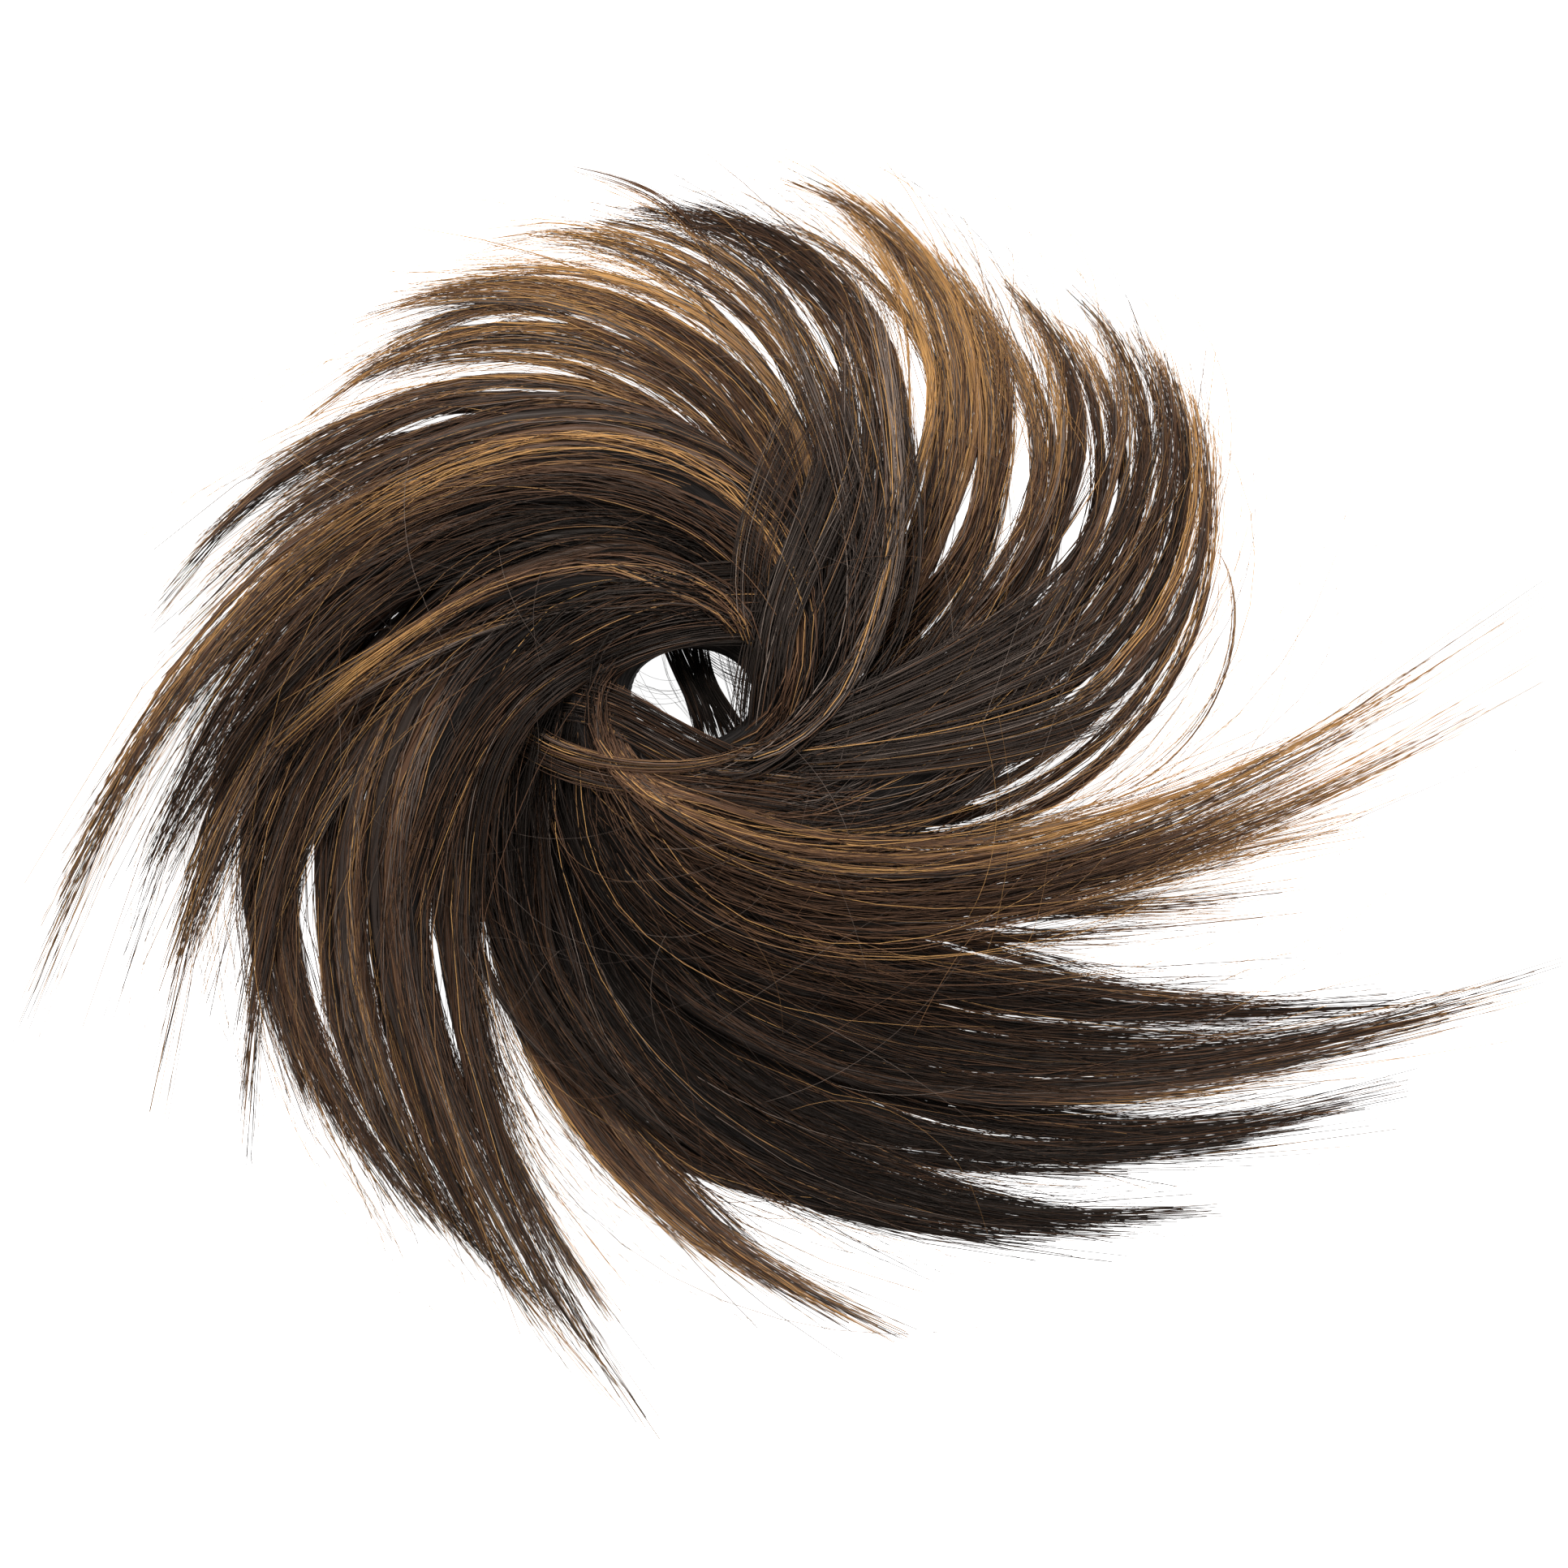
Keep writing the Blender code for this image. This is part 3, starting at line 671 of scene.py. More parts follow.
def sweep_strands(sweep, rings, rng, settings):
    """A bundle along a cubic through its four places, met at 0, 1/3, 2/3 and 1 of its length.

    The cubic is the sum of the places, each times its Lagrange weight. Strands lie across the
    bundle's width and cross it a little, sink under the hair at both ends and taper there.
    """
    count = int(sweep.strands * settings.fullness)
    begin = 0.24 * rng.random((count, 1)) ** 2
    t = begin + (rng.uniform(0.86, 1.06, (count, 1)) - begin) * np.linspace(0, 1, rings)[None]
    places = np.array(sweep[:8]).reshape(4, 2) / REACH_PARTS
    knots = np.array([0, 1 / 3, 2 / 3, 1])
    line = np.zeros((*t.shape, 2))
    for i in range(4):
        others = np.delete(knots, i)
        weight = np.prod([(t - k) / (knots[i] - k) for k in others], axis=0)
        line += weight[..., None] * places[i]
    line *= HAIR_REACH
    start, end = sweep.start / REACH_PARTS, sweep.end / REACH_PARTS
    width = (start + (end - start) * t) * HAIR_REACH / 2
    own = rng.uniform(-1, 1, (count, 1))
    cross = rng.normal(0, 0.35, (count, 1)) * (t - 0.5)
    line = line + sideways(line) * (width * (own + cross))[..., None]
    radius = np.hypot(line[..., 0], line[..., 1])
    share = np.linspace(0, 1, rings)[None]
    sink = 0.70 * (1 - smooth(share / 0.20)) + 0.30 * smooth((share - 0.75) / 0.25)
    height = np.clip(sweep.lay + rng.uniform(-0.16, 0.04, (count, 1)) - sink, 0, 1.04)
    height = height_in_tier(sweep.tier, radius, height)
    lines = np.concatenate((line, height[..., None]), axis=-1) + MIDDLE
    taper = np.minimum(np.clip((1 - share) / 0.35, 0, 1), np.clip((share + 0.1) / 0.25, 0, 1)) ** 0.7
    thick = settings.strand_width * sweep.thick
    widths = thick * rng.uniform(0.6, 1.1, (count, 1)) * (0.25 + 0.75 * taper)
    light = sweep.tone - 0.12 + rng.exponential(0.15, (count, 1)) + 0 * t
    return lines, widths, light, rng.random(count) < sweep.copper, np.full(count, 0.3)


def fly_strands(count, rings, rng, settings):
    """Fine stray hairs on top: arcs that leave the swirl by a random angle and bend evenly.

    A point at a length l lies that far from the start, in the direction of the heading plus half of
    bend times l. Hairs over the opening are left out.
    """
    far = (0.17 + 0.36 * rng.random((count, 1)) ** 0.8) * HAIR_REACH
    turn = rng.uniform(0, 2 * math.pi, (count, 1))
    heading = turn + FLY_HEADING + rng.normal(0, FLY_SPREAD, (count, 1))
    length = rng.uniform(*FLY_LENGTH, (count, 1)) * np.linspace(0, 1, rings)[None]
    bend = rng.normal(12, 24, (count, 1))
    heading = heading + bend * length / 2
    x = far * np.cos(turn) + length * np.cos(heading)
    y = far * np.sin(turn) + length * np.sin(heading)
    radius = np.hypot(x, y)
    share = np.linspace(0, 1, rings)[None]
    lift = 1.0 + rng.uniform(-0.12, 0.06, (count, 1)) - 0.5 * (1 - smooth(share / 0.2))
    lines = np.stack((x, y, height_in_tier(2, radius, lift)), axis=-1) + MIDDLE
    keep = (radius > oval(np.arctan2(y, x), HAIR_INNER) + 0.001).all(axis=1)
    widths = settings.strand_width * rng.uniform(0.32, 0.50, (count, 1)) * (1 - 0.6 * share)
    light = rng.uniform(0.35, 0.85, (count, 1)) + 0 * share
    copper = rng.random(count) < 0.35
    return tuple(column[keep] for column in (lines, widths, light, copper, np.full(count, 0.2)))


def wisps_of(row):
    """The wisps of each lock in a group, the same for its strands and its bodies."""
    return [wisp_layout(lock, np.random.default_rng(row.seed * 100 + number))
            for number, lock in enumerate(row.locks)]


def bundle(row, settings):
    """The strands of a group's locks, shared out by their area, with a tenth of loose ones."""
    area = np.array([(lock.width + 0.25) * lock.reach * (1.1 - 0.3 * lock.gap) for lock in row.locks])
    counts = np.maximum(30, row.strands * area / area.sum() * settings.fullness).astype(int)
    parts = []
    for number, (lock, wisps) in enumerate(zip(row.locks, wisps_of(row))):
        rng = np.random.default_rng(row.seed * 1000 + number)
        parts.append(lock_strands(lock, row.tier, counts[number], row.rings, rng, settings, wisps))
    rng = np.random.default_rng(row.seed)
    loose = row.strands // 10
    parts.append(stray_strands(row.locks, row.tier, loose, row.rings, rng, settings, 0.6, 1.04))
    return parts


def sweeps_over(tier, rings, rng, settings):
    """The sweeps that lie over a tier."""
    return [sweep_strands(sweep, rings, rng, settings) for sweep in SWEEPS if sweep.tier == tier]


def cell_of(plan):
    """Places on the grid of hair layers, in cells from its corner."""
    return (plan - MIDDLE[:2]) / CELL + GRID / 2


def hair_layers(groups):
    """How many strands lie over each cell of the floor: widths times lengths over the cell's area.

    Each stretch between two rings is shared out evenly over 16 points of it, and then blurred.
    """
    samples = 16
    layers = np.zeros(GRID * GRID)
    part = ((np.arange(samples) + 0.5) / samples)[None, None, :, None]
    for lines, widths, *_ in (piece for parts in groups for piece in parts):
        here, there = lines[:, :-1, None, :2], lines[:, 1:, None, :2]
        cell = np.clip(cell_of(here + (there - here) * part), 0, GRID - 1).astype(int)
        length = np.linalg.norm(lines[:, 1:, :2] - lines[:, :-1, :2], axis=-1)
        share = (widths[:, 1:] + widths[:, :-1]) / 2 * length / samples / CELL ** 2
        index = (cell[..., 0] * GRID + cell[..., 1]).ravel()
        layers += np.bincount(index, np.repeat(share.ravel(), samples), GRID * GRID)
    layers = layers.reshape(GRID, GRID)
    for axis in (0, 1):
        layers = (np.roll(layers, 1, axis) + 2 * layers + np.roll(layers, -1, axis)) / 4
    return layers


def smooth_lines(lines):
    """Lines with each inner ring moved to a quarter, a half and a quarter of its neighbours."""
    inner = (lines[:, :-2] + 2 * lines[:, 1:-1] + lines[:, 2:]) / 4
    return np.concatenate((lines[:, :1], inner, lines[:, -1:]), axis=1)


def strand_groups(settings):
    """Every piece's strands, parted and smoothed. The lower tiers' sweeps go with their strays."""
    groups = {row.name: bundle(row, settings) for row in BUNDLES}
    rng = np.random.default_rng(SWEEP_SEED)
    groups["hair_upper_sweeps"] = sweeps_over(2, SWEEP_RINGS, rng, settings)
    flies = fly_strands(FLY_COUNT, SWEEP_RINGS, np.random.default_rng(FLY_SEED), settings)
    groups["hair_upper_sweeps"].append(flies)
    for row in STRAYS:
        own = np.random.default_rng(row.seed)
        strays = stray_strands(row.locks, row.tier, row.strands, row.rings, own, settings, 1.2, 1.08)
        groups[row.name] = [strays]
        if row.tier < 2:
            groups[row.name] += sweeps_over(row.tier, row.rings, rng, settings)
    for parts in groups.values():
        parts[:] = [(smooth_lines(part_hair(lines)), *rest) for lines, *rest in parts]
    return groups


def strand_tones(lines, light, copper, gold, layers):
    """The tone of each ring: cool from 0 to 0.5 and warm from 0.5 to 1, from dark to light.

    Light comes through thin hair. A strand gets lighter by its gold times exp of minus
    (layers / LAYER_DEPTH), and turns warm where it does.
    """
    cell = np.clip(cell_of(lines[..., :2]), 0, GRID - 1).astype(int)
    through = np.exp(-layers[cell[..., 0], cell[..., 1]] / LAYER_DEPTH)
    rng = np.random.default_rng(len(lines))
    glow = gold[:, None] * rng.uniform(0.05, 1.1, (len(lines), 1)) * through
    warm = copper | (rng.random(len(lines)) < 3.2 * glow[:, -5:].mean(axis=1))
    light = np.clip(light, 0, 1)
    # Dark tones get darker and light ones lighter, and the glow is added
    light = np.clip(light * (0.70 + 0.50 * light) + glow * 1.7, 0.01, 0.97)
    return np.where(warm[:, None], 0.5 + 0.49 * light, 0.005 + 0.485 * light)


def strand_plan(settings):
    """Every strand and wisp body: its line, widths and tones, without what leaves the room."""
    key = (settings.strand_width, settings.fullness, settings.frizz)
    if PLAN.get("key") == key:
        return PLAN
    groups = strand_groups(settings)
    layers = hair_layers(groups.values())
    for row in BUNDLES:
        if row.locks is not WRAPS:
            bodies = [wisp_bodies(lock, row.tier, wisps) for lock, wisps in zip(row.locks, wisps_of(row))]
            groups.setdefault(SLOTS[row.tier] + "_bodies", []).extend(bodies)
    PLAN["key"] = key
    room = np.array(CAD_BOX[1])[:2] + ROOM
    for name, parts in groups.items():
        columns = [np.concatenate(column) for column in zip(*parts)]
        inside = (np.abs(columns[0][..., :2]) < room).all(axis=(1, 2))
        lines, widths, light, copper, gold = (column[inside] for column in columns)
        PLAN[name] = lines, widths, strand_tones(lines, light, copper, gold, layers)
    return PLAN


def add_strands(name, slot, context):
    """One piece of strands from the plan, riding on the frame in its node's place."""
    settings = context.scene.hairpiece_hair
    lines, widths, tones = strand_plan(settings)[name]
    mesh = strand_mesh(name, lines, widths, tones, np.random.default_rng(5))
    add_piece(name, mesh, hair_material(slot, settings), slot)


def add_bodies(slot, context):
    """The slim bodies in a tier's wisps. u runs along a body and v is its tone, 0.012 either way."""
    settings = context.scene.hairpiece_hair
    lines, radii, tones = strand_plan(settings)[slot + "_bodies"]
    count, rings = radii.shape
    sides = 6
    turn = np.arange(sides) * 2 * math.pi / sides
    points, quads, caps = tubes(lines, radii, np.zeros(count), sides, FLAT)
    u = np.broadcast_to(np.linspace(0.01, 0.99, rings)[None, :, None], (count, rings, sides))
    whole = np.where(tones < 0.5, 0.0, 0.5)
    v = np.clip(tones[:, :, None] + 0.012 * np.cos(turn), whole[:, :, None] + 0.003,
                whole[:, :, None] + 0.497)
    mesh = new_mesh(slot + "_bodies", points, quads, caps, np.stack((u, v), axis=-1).reshape(-1, 2))
    add_piece(slot + "_bodies", mesh, hair_material(slot, settings), slot)


def core_mesh(name, locks, index):
    """Closed bodies inside the locks: an oval section carried along each lock's line.

    The section is cos t wide and sin t tall, 0.8 of the lock's width near its root and then
    narrowing almost to a point, sooner in an open lock. u runs along the lock and v across it, in a
    strip for each lock.
    """
    sides, rings = 12, 24
    turn = np.arange(sides) * 2 * math.pi / sides
    quads = tube_faces(rings, sides)
    caps = np.stack((np.arange(sides), rings * sides - 1 - np.arange(sides)))
    parts = []
    for number, lock in enumerate(locks):
        last = 0.82 - 0.48 * lock.gap
        along = np.linspace(0, 1, rings) * last
        angle, radius = spiral(along, lock.root, lock.tip, lock.reach, lock.bow)
        line = np.stack((radius * np.cos(angle), radius * np.sin(angle)), axis=-1)
        half = half_width(along, lock.width) * (0.80 - 0.75 * smooth((along / last - 0.40) / 0.60))
        plan = line[:, None] + sideways(line)[:, None] * (half[:, None] * np.cos(turn))[..., None]
        share = lock.lay + lock.depth * (0.46 - 0.28 * np.sin(turn))[None] + 0 * half[:, None]
        height = height_in_tier(index, np.hypot(plan[..., 0], plan[..., 1]), share)
        points = part_hair(np.concatenate((plan, height[..., None]), axis=-1) + MIDDLE)
        u = np.broadcast_to(along[:, None], (rings, sides))
        v = np.broadcast_to((number + 0.5 + 0.48 * np.cos(turn)) / len(locks), (rings, sides))
        parts.append((points.reshape(-1, 3), quads + number * rings * sides,
                      caps + number * rings * sides, np.stack((u, v), axis=-1).reshape(-1, 2)))
    points, quads, caps, uv = (np.concatenate(column) for column in zip(*parts))
    return new_mesh(name, points, quads, caps, uv)


def ring_mesh(name, inner, outer, index, steps=160):
    """A closed oval weft ring in a tier: the section's shares lie between the inner and outer oval.

    u goes from 0 to 1 and back round the loop, and v the same way round the section.
    """
    turn = np.linspace(0, 2 * math.pi, steps, endpoint=False)
    across, share = np.array(RING_SECTION).T
    x = np.cos(turn)[:, None] * (inner[0] + across * (outer[0] - inner[0]))
    y = np.sin(turn)[:, None] * (inner[1] + across * (outer[1] - inner[1]))
    z = height_in_tier(index, np.hypot(x, y), share[None] * RING_SHARES[index])
    points = np.stack((x, y, z), axis=-1) + MIDDLE
    quads, uv = ring_faces(steps, len(RING_SECTION))
    return new_mesh(name, points.reshape(-1, 3), quads, np.zeros((0, 4), int), uv)


def ring_faces(steps, sides):
    """The quads of a closed ring of steps and sides, and its UV map."""
    ring = np.arange(steps)[:, None]
    k = np.arange(sides)[None]
    n = (k + 1) % sides
    ahead = (ring + 1) % steps
    quads = np.stack((ring * sides + k, ring * sides + n, ahead * sides + n, ahead * sides + k), axis=-1)
    u = np.broadcast_to(np.abs(ring / steps * 2 - 1), (steps, sides))
    v = np.broadcast_to(np.abs(k / sides * 2 - 1), (steps, sides))
    return quads.reshape(-1, 4), np.stack((u, v), axis=-1).reshape(-1, 2)


def braid_mesh(name):
    """The elastic: a band round the opening whose braid stands out by the larger of two waves.

    The section is a rounded box, cos t to the power 0.6 wide and sin t to the power 0.6 tall. The
    waves are cos(56 p + 5 t) and cos(56 p - 5 t), p round the loop and t round the section.
    """
    steps, sides = 6 * BRAID_WAVES, 22
    p = np.linspace(0, 2 * math.pi, steps, endpoint=False)[:, None]
    t = np.linspace(0, 2 * math.pi, sides, endpoint=False)[None]
    waves = np.maximum(np.cos(BRAID_WAVES * p + 5 * t), np.cos(BRAID_WAVES * p - 5 * t))
    relief = BRAID_RELIEF * waves - BRAID_RELIEF
    wide = np.sign(np.cos(t)) * np.abs(np.cos(t)) ** 0.6
    tall = np.sign(np.sin(t)) * np.abs(np.sin(t)) ** 0.6
    half = (BAND_WALL / 2 + relief) * wide
    x = np.cos(p) * ((BAND_INNER[0] + BAND_OUTER[0]) / 2 + half)
    y = np.sin(p) * ((BAND_INNER[1] + BAND_OUTER[1]) / 2 + half)
    z = BAND_HEIGHT / 2 + (BAND_HEIGHT / 2 + relief) * tall
    points = np.stack((x, y, z), axis=-1) + MIDDLE
    quads, uv = ring_faces(steps, sides)
    return new_mesh(name, points.reshape(-1, 3), quads[:, ::-1], np.zeros((0, 4), int), uv)


def new_group(name, inputs, outputs):
    """A node group with its sockets, then what comes in and what goes out, by the sockets' names."""
    group = bpy.data.node_groups.new(name, "ShaderNodeTree")
    for way, sockets in (("INPUT", inputs), ("OUTPUT", outputs)):
        for label, kind in sockets.items():
            group.interface.new_socket(label, in_out=way, socket_type="NodeSocket" + kind)
    given = group.nodes.new("NodeGroupInput")
    out = group.nodes.new("NodeGroupOutput")
    return group, given.outputs, out.inputs


def add_node(tree, kind, inputs, **settings):
    """A shader node with its settings; an input is a value or the socket that feeds it."""
    node = tree.nodes.new("ShaderNode" + kind)
    for name, value in settings.items():
        setattr(node, name, value)
    for name, value in inputs.items():
        if isinstance(value, bpy.types.NodeSocket):
            tree.links.new(value, node.inputs[name])
        else:
            node.inputs[name].default_value = value
    return node


def maths(tree, operation, *values):
    """The result of one operation on values or sockets."""
    return add_node(tree, "Math", dict(enumerate(values)), operation=operation).outputs[0]


def rescale(tree, value, low, high, start=0.0, end=1.0):
    """A value's place between low and high, as one from start to end."""
    inputs = {"Value": value, "From Min": low, "From Max": high, "To Min": start, "To Max": end}
    return add_node(tree, "MapRange", inputs).outputs["Result"]


def blend(tree, share, first, second):
    """A colour between two colours."""
    inputs = {"Factor": share, "A": first, "B": second}
    return add_node(tree, "Mix", inputs, data_type="RGBA").outputs["Result"]


def fibre_tone():
    """Node group: the colour and roughness of hair from u (root to tip) and v (tone).

    v runs from dark to light over the cool tones up to 0.5 and over the warm ones past it. A fine
    grain along the hair shifts the tone.
    """
    group = bpy.data.node_groups.get("fibre_tone")
    if group:
        return group
    colours = dict.fromkeys(("Dark", "Brown", "Ash", "Copper", "Gold"), "Color")
    group, given, out = new_group(
        "fibre_tone", {"UV": "Vector", **colours}, {"Color": "Color", "Roughness": "Float"})
    v = add_node(group, "SeparateXYZ", {0: given["UV"]}).outputs["Y"]
    is_warm = maths(group, "GREATER_THAN", v, 0.5)
    tone = maths(group, "FRACT", maths(group, "MULTIPLY", v, 2.0))
    stretch = add_node(group, "Mapping", {"Vector": given["UV"], "Scale": (7, 420, 1)})
    grain = add_node(group, "TexNoise", {"Vector": stretch.outputs[0], "Scale": 1, "Detail": 2})
    grain = grain.outputs["Fac"]
    shift = maths(group, "MULTIPLY", maths(group, "SUBTRACT", grain, 0.5), 0.22)
    tone = maths(group, "ADD", tone, shift)
    rise = maths(group, "MULTIPLY", tone, 1.6)
    last = maths(group, "MULTIPLY", maths(group, "SUBTRACT", tone, 0.55), 2.2)
    cool = blend(group, last, blend(group, rise, given["Dark"], given["Brown"]), given["Ash"])
    warm = blend(group, last, blend(group, rise, given["Dark"], given["Copper"]), given["Gold"])
    roughness = maths(group, "ADD", maths(group, "MULTIPLY", grain, 0.16), 0.34)
    group.links.new(blend(group, is_warm, cool, warm), out["Color"])
    group.links.new(roughness, out["Roughness"])
    return group


def relief_group(name, extra):
    """A node group that puts out a colour between Dark and Light, a roughness and a height."""
    inputs = {"UV": "Vector", **extra, "Dark": "Color", "Light": "Color"}
    return new_group(name, inputs, {"Color": "Color", "Roughness": "Float", "Height": "Float"})


def fibre_streaks():
    """Node group: packed fibres drawn along a body, from u (along) and v (across)."""
    group = bpy.data.node_groups.get("fibre_streaks")
    if group:
        return group
    group, given, out = relief_group("fibre_streaks", {"Fibres": "Vector"})
    place = add_node(group, "VectorMath", {0: given["UV"], 1: given["Fibres"]}, operation="MULTIPLY")
    inputs = {"Vector": place.outputs["Vector"], "Scale": 1, "Detail": 3, "Roughness": 0.65}
    grain = add_node(group, "TexNoise", inputs).outputs["Fac"]
    streak = rescale(group, grain, 0.40, 0.78)
    group.links.new(blend(group, streak, given["Dark"], given["Light"]), out["Color"])
    group.links.new(rescale(group, grain, 0.0, 1.0, 0.75, 0.50), out["Roughness"])
    group.links.new(grain, out["Height"])
    return group


def braid_pattern():
    """Node group: a braid of fine yarn from a UV map that goes round a band.

    The yarns are the larger of two slanted waves, with a little fuzz.
    """
    group = bpy.data.node_groups.get("braid_pattern")
    if group:
        return group
    group, given, out = relief_group("braid_pattern", {})
    waves = []
    for slope in (58.0, -58.0):
        inputs = {0: given["UV"], 1: (170.0, slope, 0.0)}
        turned = add_node(group, "VectorMath", inputs, operation="DOT_PRODUCT").outputs["Value"]
        waves.append(maths(group, "PINGPONG", turned, 0.5))
    yarn = maths(group, "MAXIMUM", *waves)
    fuzz = add_node(group, "TexNoise", {"Vector": given["UV"], "Scale": 240, "Detail": 3})
    height = maths(group, "MULTIPLY_ADD", yarn, 1.3, fuzz.outputs["Fac"])
    crest = rescale(group, height, 0.55, 1.25)
    # Dark in the grooves and Light on the crests: painted shade and painted highlight on the yarn
    group.links.new(blend(group, crest, given["Dark"], given["Light"]), out["Color"])
    group.links.new(rescale(group, crest, 0.0, 1.0, 0.90, 0.62), out["Roughness"])
    group.links.new(height, out["Height"])
    return group


def pattern_material(name, pattern, values, finish, relief=None):
    """A material whose colour and roughness come from a node group over the piece's UV map.

    finish holds what is the same all over, and relief the strength and depth of the bump.
    """
    material = bpy.data.materials.new(name)
    material.use_nodes = True
    tree = material.node_tree
    shader = tree.nodes["Principled BSDF"]
    for label, value in finish.items():
        shader.inputs[label].default_value = value
    place = add_node(tree, "UVMap", {}, uv_map="OFBake").outputs["UV"]
    drawn = add_node(tree, "Group", {}, node_tree=pattern)
    for label, value in values.items():
        drawn.inputs[label].default_value = value
    tree.links.new(place, drawn.inputs["UV"])
    tree.links.new(drawn.outputs["Color"], shader.inputs["Base Color"])
    tree.links.new(drawn.outputs["Roughness"], shader.inputs["Roughness"])
    if relief:
        inputs = {"Height": drawn.outputs["Height"], "Strength": relief[0], "Distance": relief[1]}
        tree.links.new(add_node(tree, "Bump", inputs).outputs["Normal"], shader.inputs["Normal"])
    return material


def core_material(slot, settings, locks):
    """Packed hair inside a lock: dark as painted shade, with fine streaks along it and little sheen."""
    # The light end is the brown at 0.45: painted shade for packed hair deep in a lock
    values = {"Fibres": (2.5, 42.0 * locks, 1), "Dark": colour(settings.dark),
              "Light": colour(np.array(settings.brown) * 0.45)}
    return pattern_material(f"{slot}_packed_{locks}", fibre_streaks(), values,
                            {"Specular IOR Level": 0.18}, (0.9, 0.0006))


def colour(value):
    """A colour property as a socket value."""
    return (*value, 1.0)


def braid_material():
    """Covered elastic: near-black yarn in a braid, lighter on its crests and darker in its grooves as
    painted highlight and painted shade.
    """
    values = {"Dark": (0.006, 0.005, 0.005, 1), "Light": (0.034, 0.028, 0.025, 1)}
    return pattern_material("braided_elastic", braid_pattern(), values,
                            {"Specular IOR Level": 0.3}, (0.8, 0.0002))


def hair_material(slot, settings):
    """Hair fibre: tone from the strand's UV map, with a soft tinted sheen."""
    name = slot + "_fibre"
    values = {label: colour(getattr(settings, label.lower()))
              for label in ("Dark", "Brown", "Ash", "Copper", "Gold")}
    sheen = {"Specular IOR Level": 0.18, "Specular Tint": (1.0, 0.86, 0.76, 1.0)}
    return bpy.data.materials.get(name) or pattern_material(name, fibre_tone(), values, sheen)


class HairSettings(bpy.types.PropertyGroup):
    """Sizes and colours of the strands."""

    strand_width: bpy.props.FloatProperty(
        name="Strand width", description="Width of a strand before it tapers",
        default=0.00023, min=0.00005, max=0.001, precision=5, unit="LENGTH")
    fullness: bpy.props.FloatProperty(
        name="Fullness", description="Number of strands, as a share of the full count",
        default=1.0, min=0.1, max=1.2)
    frizz: bpy.props.FloatProperty(
        name="Frizz", description="How far the strands stray at the tips",
        default=1.0, min=0.0, max=2.0)
    dark: bpy.props.FloatVectorProperty(
        name="Dark", description="Darkest strands", subtype="COLOR", size=3,
        default=(0.004, 0.0031, 0.0027), min=0, max=1)
    brown: bpy.props.FloatVectorProperty(
        name="Brown", description="Cool brown strands", subtype="COLOR", size=3,
        default=(0.068, 0.051, 0.043), min=0, max=1)
    ash: bpy.props.FloatVectorProperty(
        name="Ash", description="Lightest cool strands", subtype="COLOR", size=3,
        default=(0.26, 0.200, 0.165), min=0, max=1)
    copper: bpy.props.FloatVectorProperty(
        name="Copper", description="Warm strands", subtype="COLOR", size=3,
        default=(0.168, 0.088, 0.052), min=0, max=1)
    # Gold also colours the painted glow of light through thin tips and edges
    gold: bpy.props.FloatVectorProperty(
        name="Gold", description="Lightest strands and tips", subtype="COLOR", size=3,
        default=(0.64, 0.35, 0.125), min=0, max=1)


class StageSettings(bpy.types.PropertyGroup):
    """The floor, the lights and the camera."""

    lens: bpy.props.FloatProperty(
        name="Lens", description="Focal length of the camera in millimetres",
        default=260.0, min=50.0, max=400.0)
    key: bpy.props.FloatProperty(
        name="Key light", description="Power of the key light",
        default=30.0, min=0.0, max=500.0, unit="POWER")
    fill: bpy.props.FloatProperty(
        name="Fill light", description="Power of the fill light",
        default=10.0, min=0.0, max=500.0, unit="POWER")


def add_floor(context):
    """A white floor that glows evenly, half a millimetre under the hair."""
    half, drop = 4.0, 0.0005
    corners = [(x * half, y * half, -drop) for x, y in ((-1, -1), (1, -1), (1, 1), (-1, 1))]
    mesh = bpy.data.meshes.new("floor")
    mesh.from_pydata(corners, [], [(0, 1, 2, 3)])
    floor = bpy.data.objects.new("floor", mesh)
    context.collection.objects.link(floor)
    material = bpy.data.materials.new("lit_floor")
    material.use_nodes = True
    shader = material.node_tree.nodes["Principled BSDF"]
    for label, value in {
        "Base Color": (0.8, 0.8, 0.8, 1), "Roughness": 1.0, "Specular IOR Level": 0.0,
        "Emission Color": (1, 1, 1, 1), "Emission Strength": 1.0,
    }.items():
        shader.inputs[label].default_value = value
    mesh.materials.append(material)


def add_world(scene):
    """A white studio: full white where it is seen, and dim light from all sides."""
    world = scene.world or bpy.data.worlds.new("studio")
    scene.world = world
    world.use_nodes = True
    tree = world.node_tree
    seen = add_node(tree, "LightPath", {}).outputs["Is Camera Ray"]
    back = tree.nodes["Background"]
    back.inputs["Color"].default_value = (1, 1, 1, 1)
    tree.links.new(rescale(tree, seen, 0.0, 1.0, 0.11, 1.0), back.inputs["Strength"])


def add_light(context, name, power, size, place):
    """A soft square light that faces the middle of the piece."""
    data = bpy.data.lights.new(name, "AREA")
    data.energy = power
    data.size = size
    lamp = bpy.data.objects.new(name, data)
    lamp.location = place
    lamp.rotation_euler = Vector(place).to_track_quat("Z", "Y").to_euler()
    context.collection.objects.link(lamp)


class HAIRPIECE_OT_elastic(bpy.types.Operator):
    """Make the braided elastic round the opening"""

    bl_idname = "hairpiece.elastic"
    bl_label = "Elastic"

    def execute(self, context):
        add_piece("elastic_braid", braid_mesh("elastic_braid"), braid_material(),
                  "elastic_band")
        return {"FINISHED"}


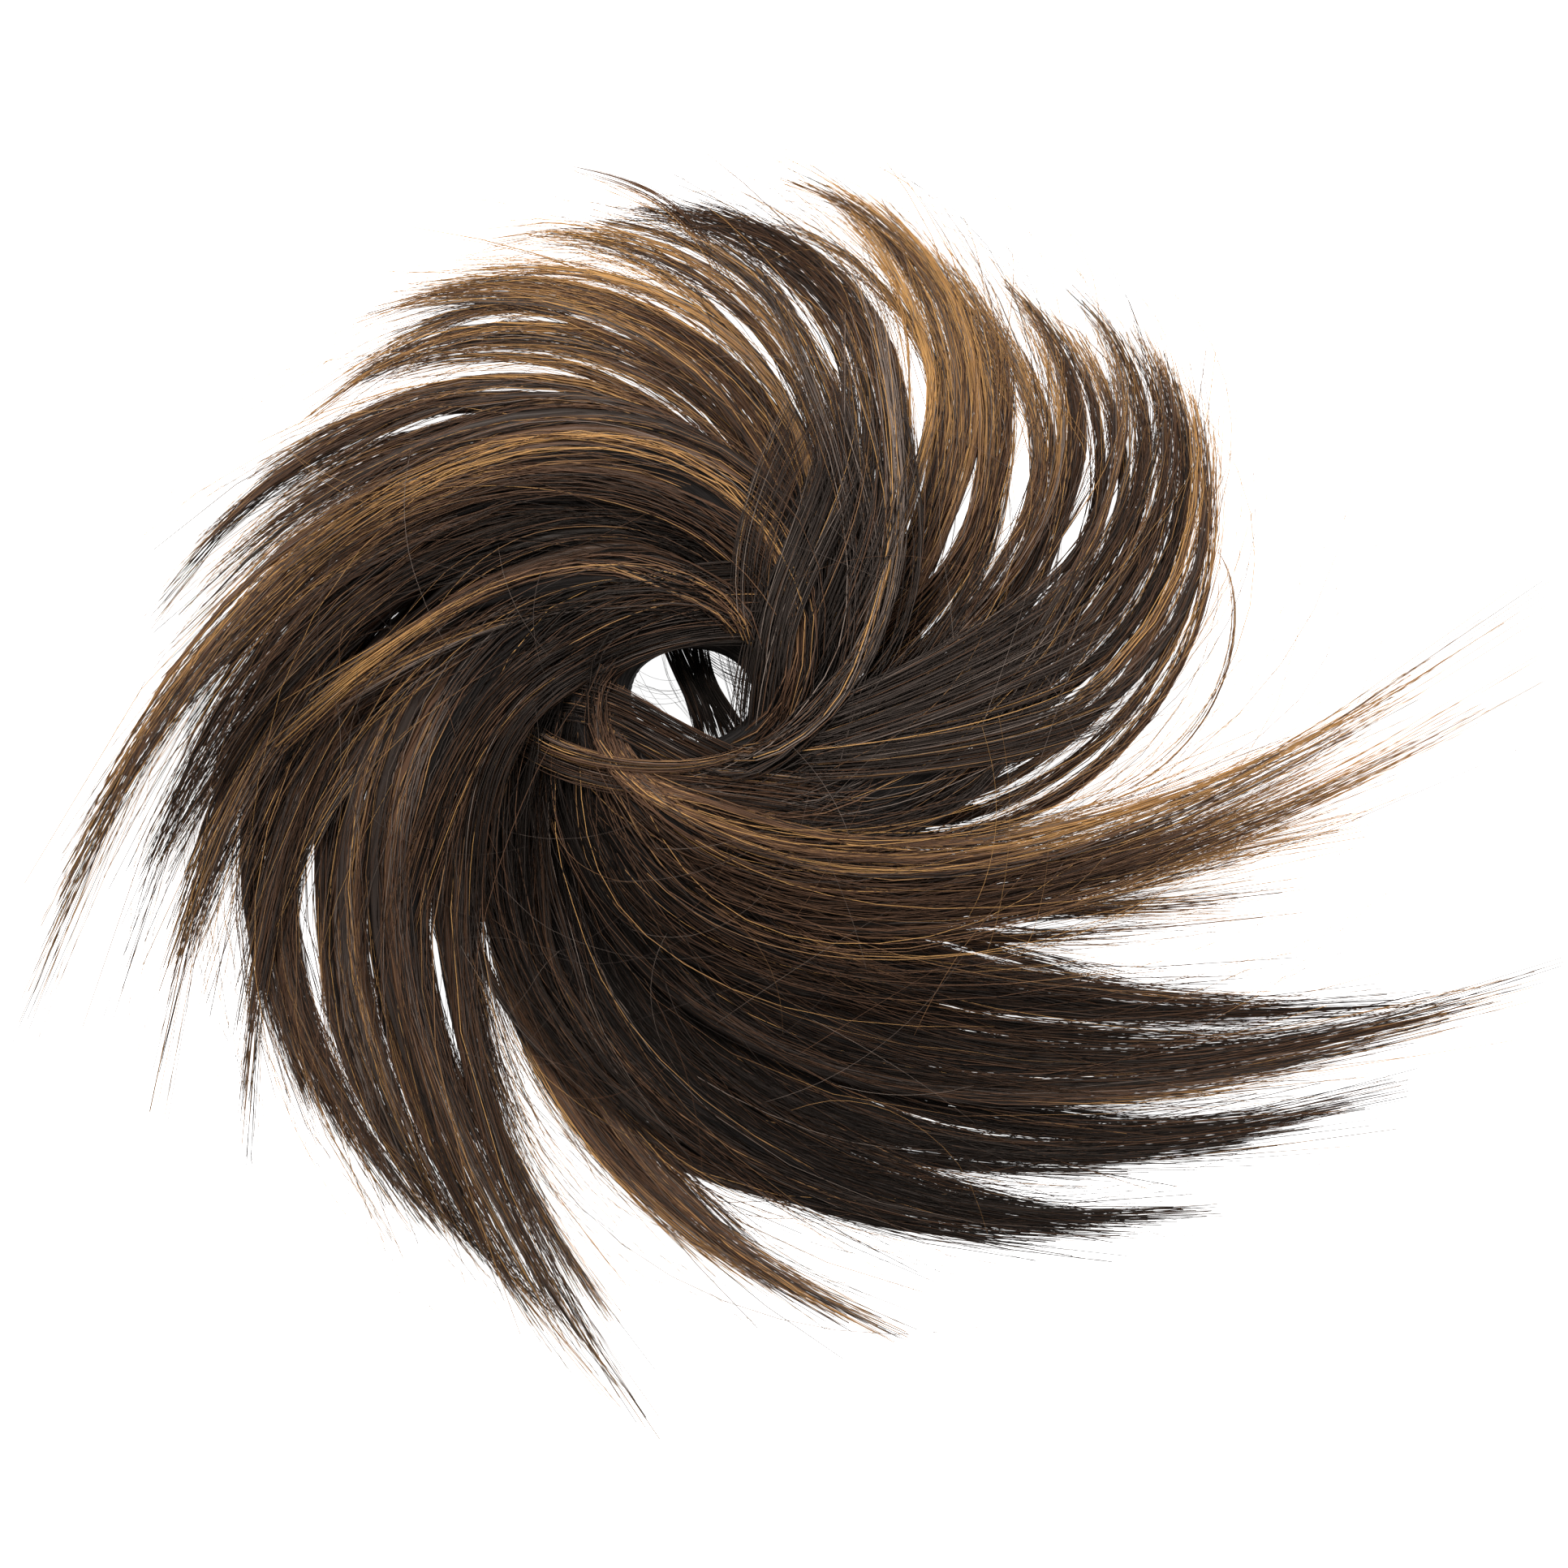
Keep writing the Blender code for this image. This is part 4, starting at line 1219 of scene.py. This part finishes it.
class HAIRPIECE_OT_cores(bpy.types.Operator):
    """Make the weft rings and the slim bodies inside the locks"""

    bl_idname = "hairpiece.cores"
    bl_label = "Rings and Lock Cores"

    def execute(self, context):
        settings = context.scene.hairpiece_hair
        for index, locks in enumerate((LOWER_FAN + LOWER_FRONT, MIDDLE_LOCKS, UPPER_LOCKS)):
            slot = SLOTS[index]
            mesh = core_mesh(slot + "_cores", locks, index)
            add_piece(slot + "_cores", mesh, core_material(slot, settings, len(locks)), slot)
            inner = SEAM_INNER if index == 1 else HAIR_INNER
            mesh = ring_mesh(slot + "_weft", inner, SEAM_OUTER, index)
            add_piece(slot + "_weft", mesh, core_material(slot, settings, 1), slot)
        return {"FINISHED"}


class HAIRPIECE_OT_lower(bpy.types.Operator):
    """Make the strands of the lower tier"""

    bl_idname = "hairpiece.lower"
    bl_label = "Lower Tier Strands"

    def execute(self, context):
        add_strands("hair_lower_fan", "hair_lower", context)
        add_strands("hair_lower_front", "hair_lower", context)
        add_bodies("hair_lower", context)
        return {"FINISHED"}


class HAIRPIECE_OT_middle(bpy.types.Operator):
    """Make the strands of the middle tier"""

    bl_idname = "hairpiece.middle"
    bl_label = "Middle Tier Strands"

    def execute(self, context):
        add_strands("hair_middle_strands", "hair_middle", context)
        add_bodies("hair_middle", context)
        return {"FINISHED"}


class HAIRPIECE_OT_upper(bpy.types.Operator):
    """Make the strands of the upper tier"""

    bl_idname = "hairpiece.upper"
    bl_label = "Upper Tier Strands"

    def execute(self, context):
        add_strands("hair_upper_strands", "hair_upper", context)
        add_bodies("hair_upper", context)
        return {"FINISHED"}


class HAIRPIECE_OT_wraps(bpy.types.Operator):
    """Make the strands that cover the weft and the loose ones on top"""

    bl_idname = "hairpiece.wraps"
    bl_label = "Wrapped and Stray Strands"

    def execute(self, context):
        add_strands("hair_upper_wraps", "hair_upper", context)
        add_strands("hair_upper_sweeps", "hair_upper", context)
        for slot in SLOTS:
            add_strands(slot + "_strays", slot, context)
        return {"FINISHED"}


class HAIRPIECE_OT_stage(bpy.types.Operator):
    """Make the floor, the lights and the camera"""

    bl_idname = "hairpiece.stage"
    bl_label = "Floor, Lights and Camera"

    def execute(self, context):
        settings = context.scene.hairpiece_stage
        add_floor(context)
        add_world(context.scene)
        add_light(context, "key", settings.key, 0.7, (-0.35, 0.85, 1.30))
        add_light(context, "fill", settings.fill, 0.9, (0.90, -0.35, 1.10))
        data = bpy.data.cameras.new("camera")
        data.lens = settings.lens
        data.sensor_width = SENSOR
        camera = bpy.data.objects.new("camera", data)
        context.collection.objects.link(camera)
        away = VIEW_WIDTH * settings.lens / SENSOR
        camera.location = (MIDDLE[0] + VIEW_MIDDLE[0], MIDDLE[1] + VIEW_MIDDLE[1], away + VIEW_HEIGHT)
        context.scene.camera = camera
        context.scene.view_settings.view_transform = "Standard"
        return {"FINISHED"}


class HAIRPIECE_PT_panel(bpy.types.Panel):
    """Sidebar panel with the settings and one button for each group of pieces"""

    bl_idname = "HAIRPIECE_PT_panel"
    bl_label = "Top Knot Hairpiece"
    bl_space_type = "VIEW_3D"
    bl_region_type = "UI"
    bl_category = "Hairpiece"

    def draw(self, context):
        column = self.layout.column()
        for name in ("strand_width", "fullness", "frizz", "dark", "brown", "ash", "copper", "gold"):
            column.prop(context.scene.hairpiece_hair, name)
        for operator in STEPS:
            column.operator("hairpiece." + operator)
        for name in ("lens", "key", "fill"):
            column.prop(context.scene.hairpiece_stage, name)
        column.operator("hairpiece.stage")


CLASSES = (HairSettings, StageSettings, HAIRPIECE_OT_elastic, HAIRPIECE_OT_cores, HAIRPIECE_OT_lower,
           HAIRPIECE_OT_middle, HAIRPIECE_OT_upper, HAIRPIECE_OT_wraps, HAIRPIECE_OT_stage,
           HAIRPIECE_PT_panel)


def register():
    """Register the classes and hang the settings on the scene."""
    for cls in CLASSES:
        bpy.utils.register_class(cls)
    bpy.types.Scene.hairpiece_hair = bpy.props.PointerProperty(type=HairSettings)
    bpy.types.Scene.hairpiece_stage = bpy.props.PointerProperty(type=StageSettings)


def unregister():
    """Take the settings off and unregister the classes."""
    del bpy.types.Scene.hairpiece_stage
    del bpy.types.Scene.hairpiece_hair
    for cls in reversed(CLASSES):
        bpy.utils.unregister_class(cls)


def main():
    """Make every piece in order."""
    register()
    bpy.ops.hairpiece.elastic()
    bpy.ops.hairpiece.cores()
    bpy.ops.hairpiece.lower()
    bpy.ops.hairpiece.middle()
    bpy.ops.hairpiece.upper()
    bpy.ops.hairpiece.wraps()
    bpy.ops.hairpiece.stage()


if __name__ == "__main__":
    main()
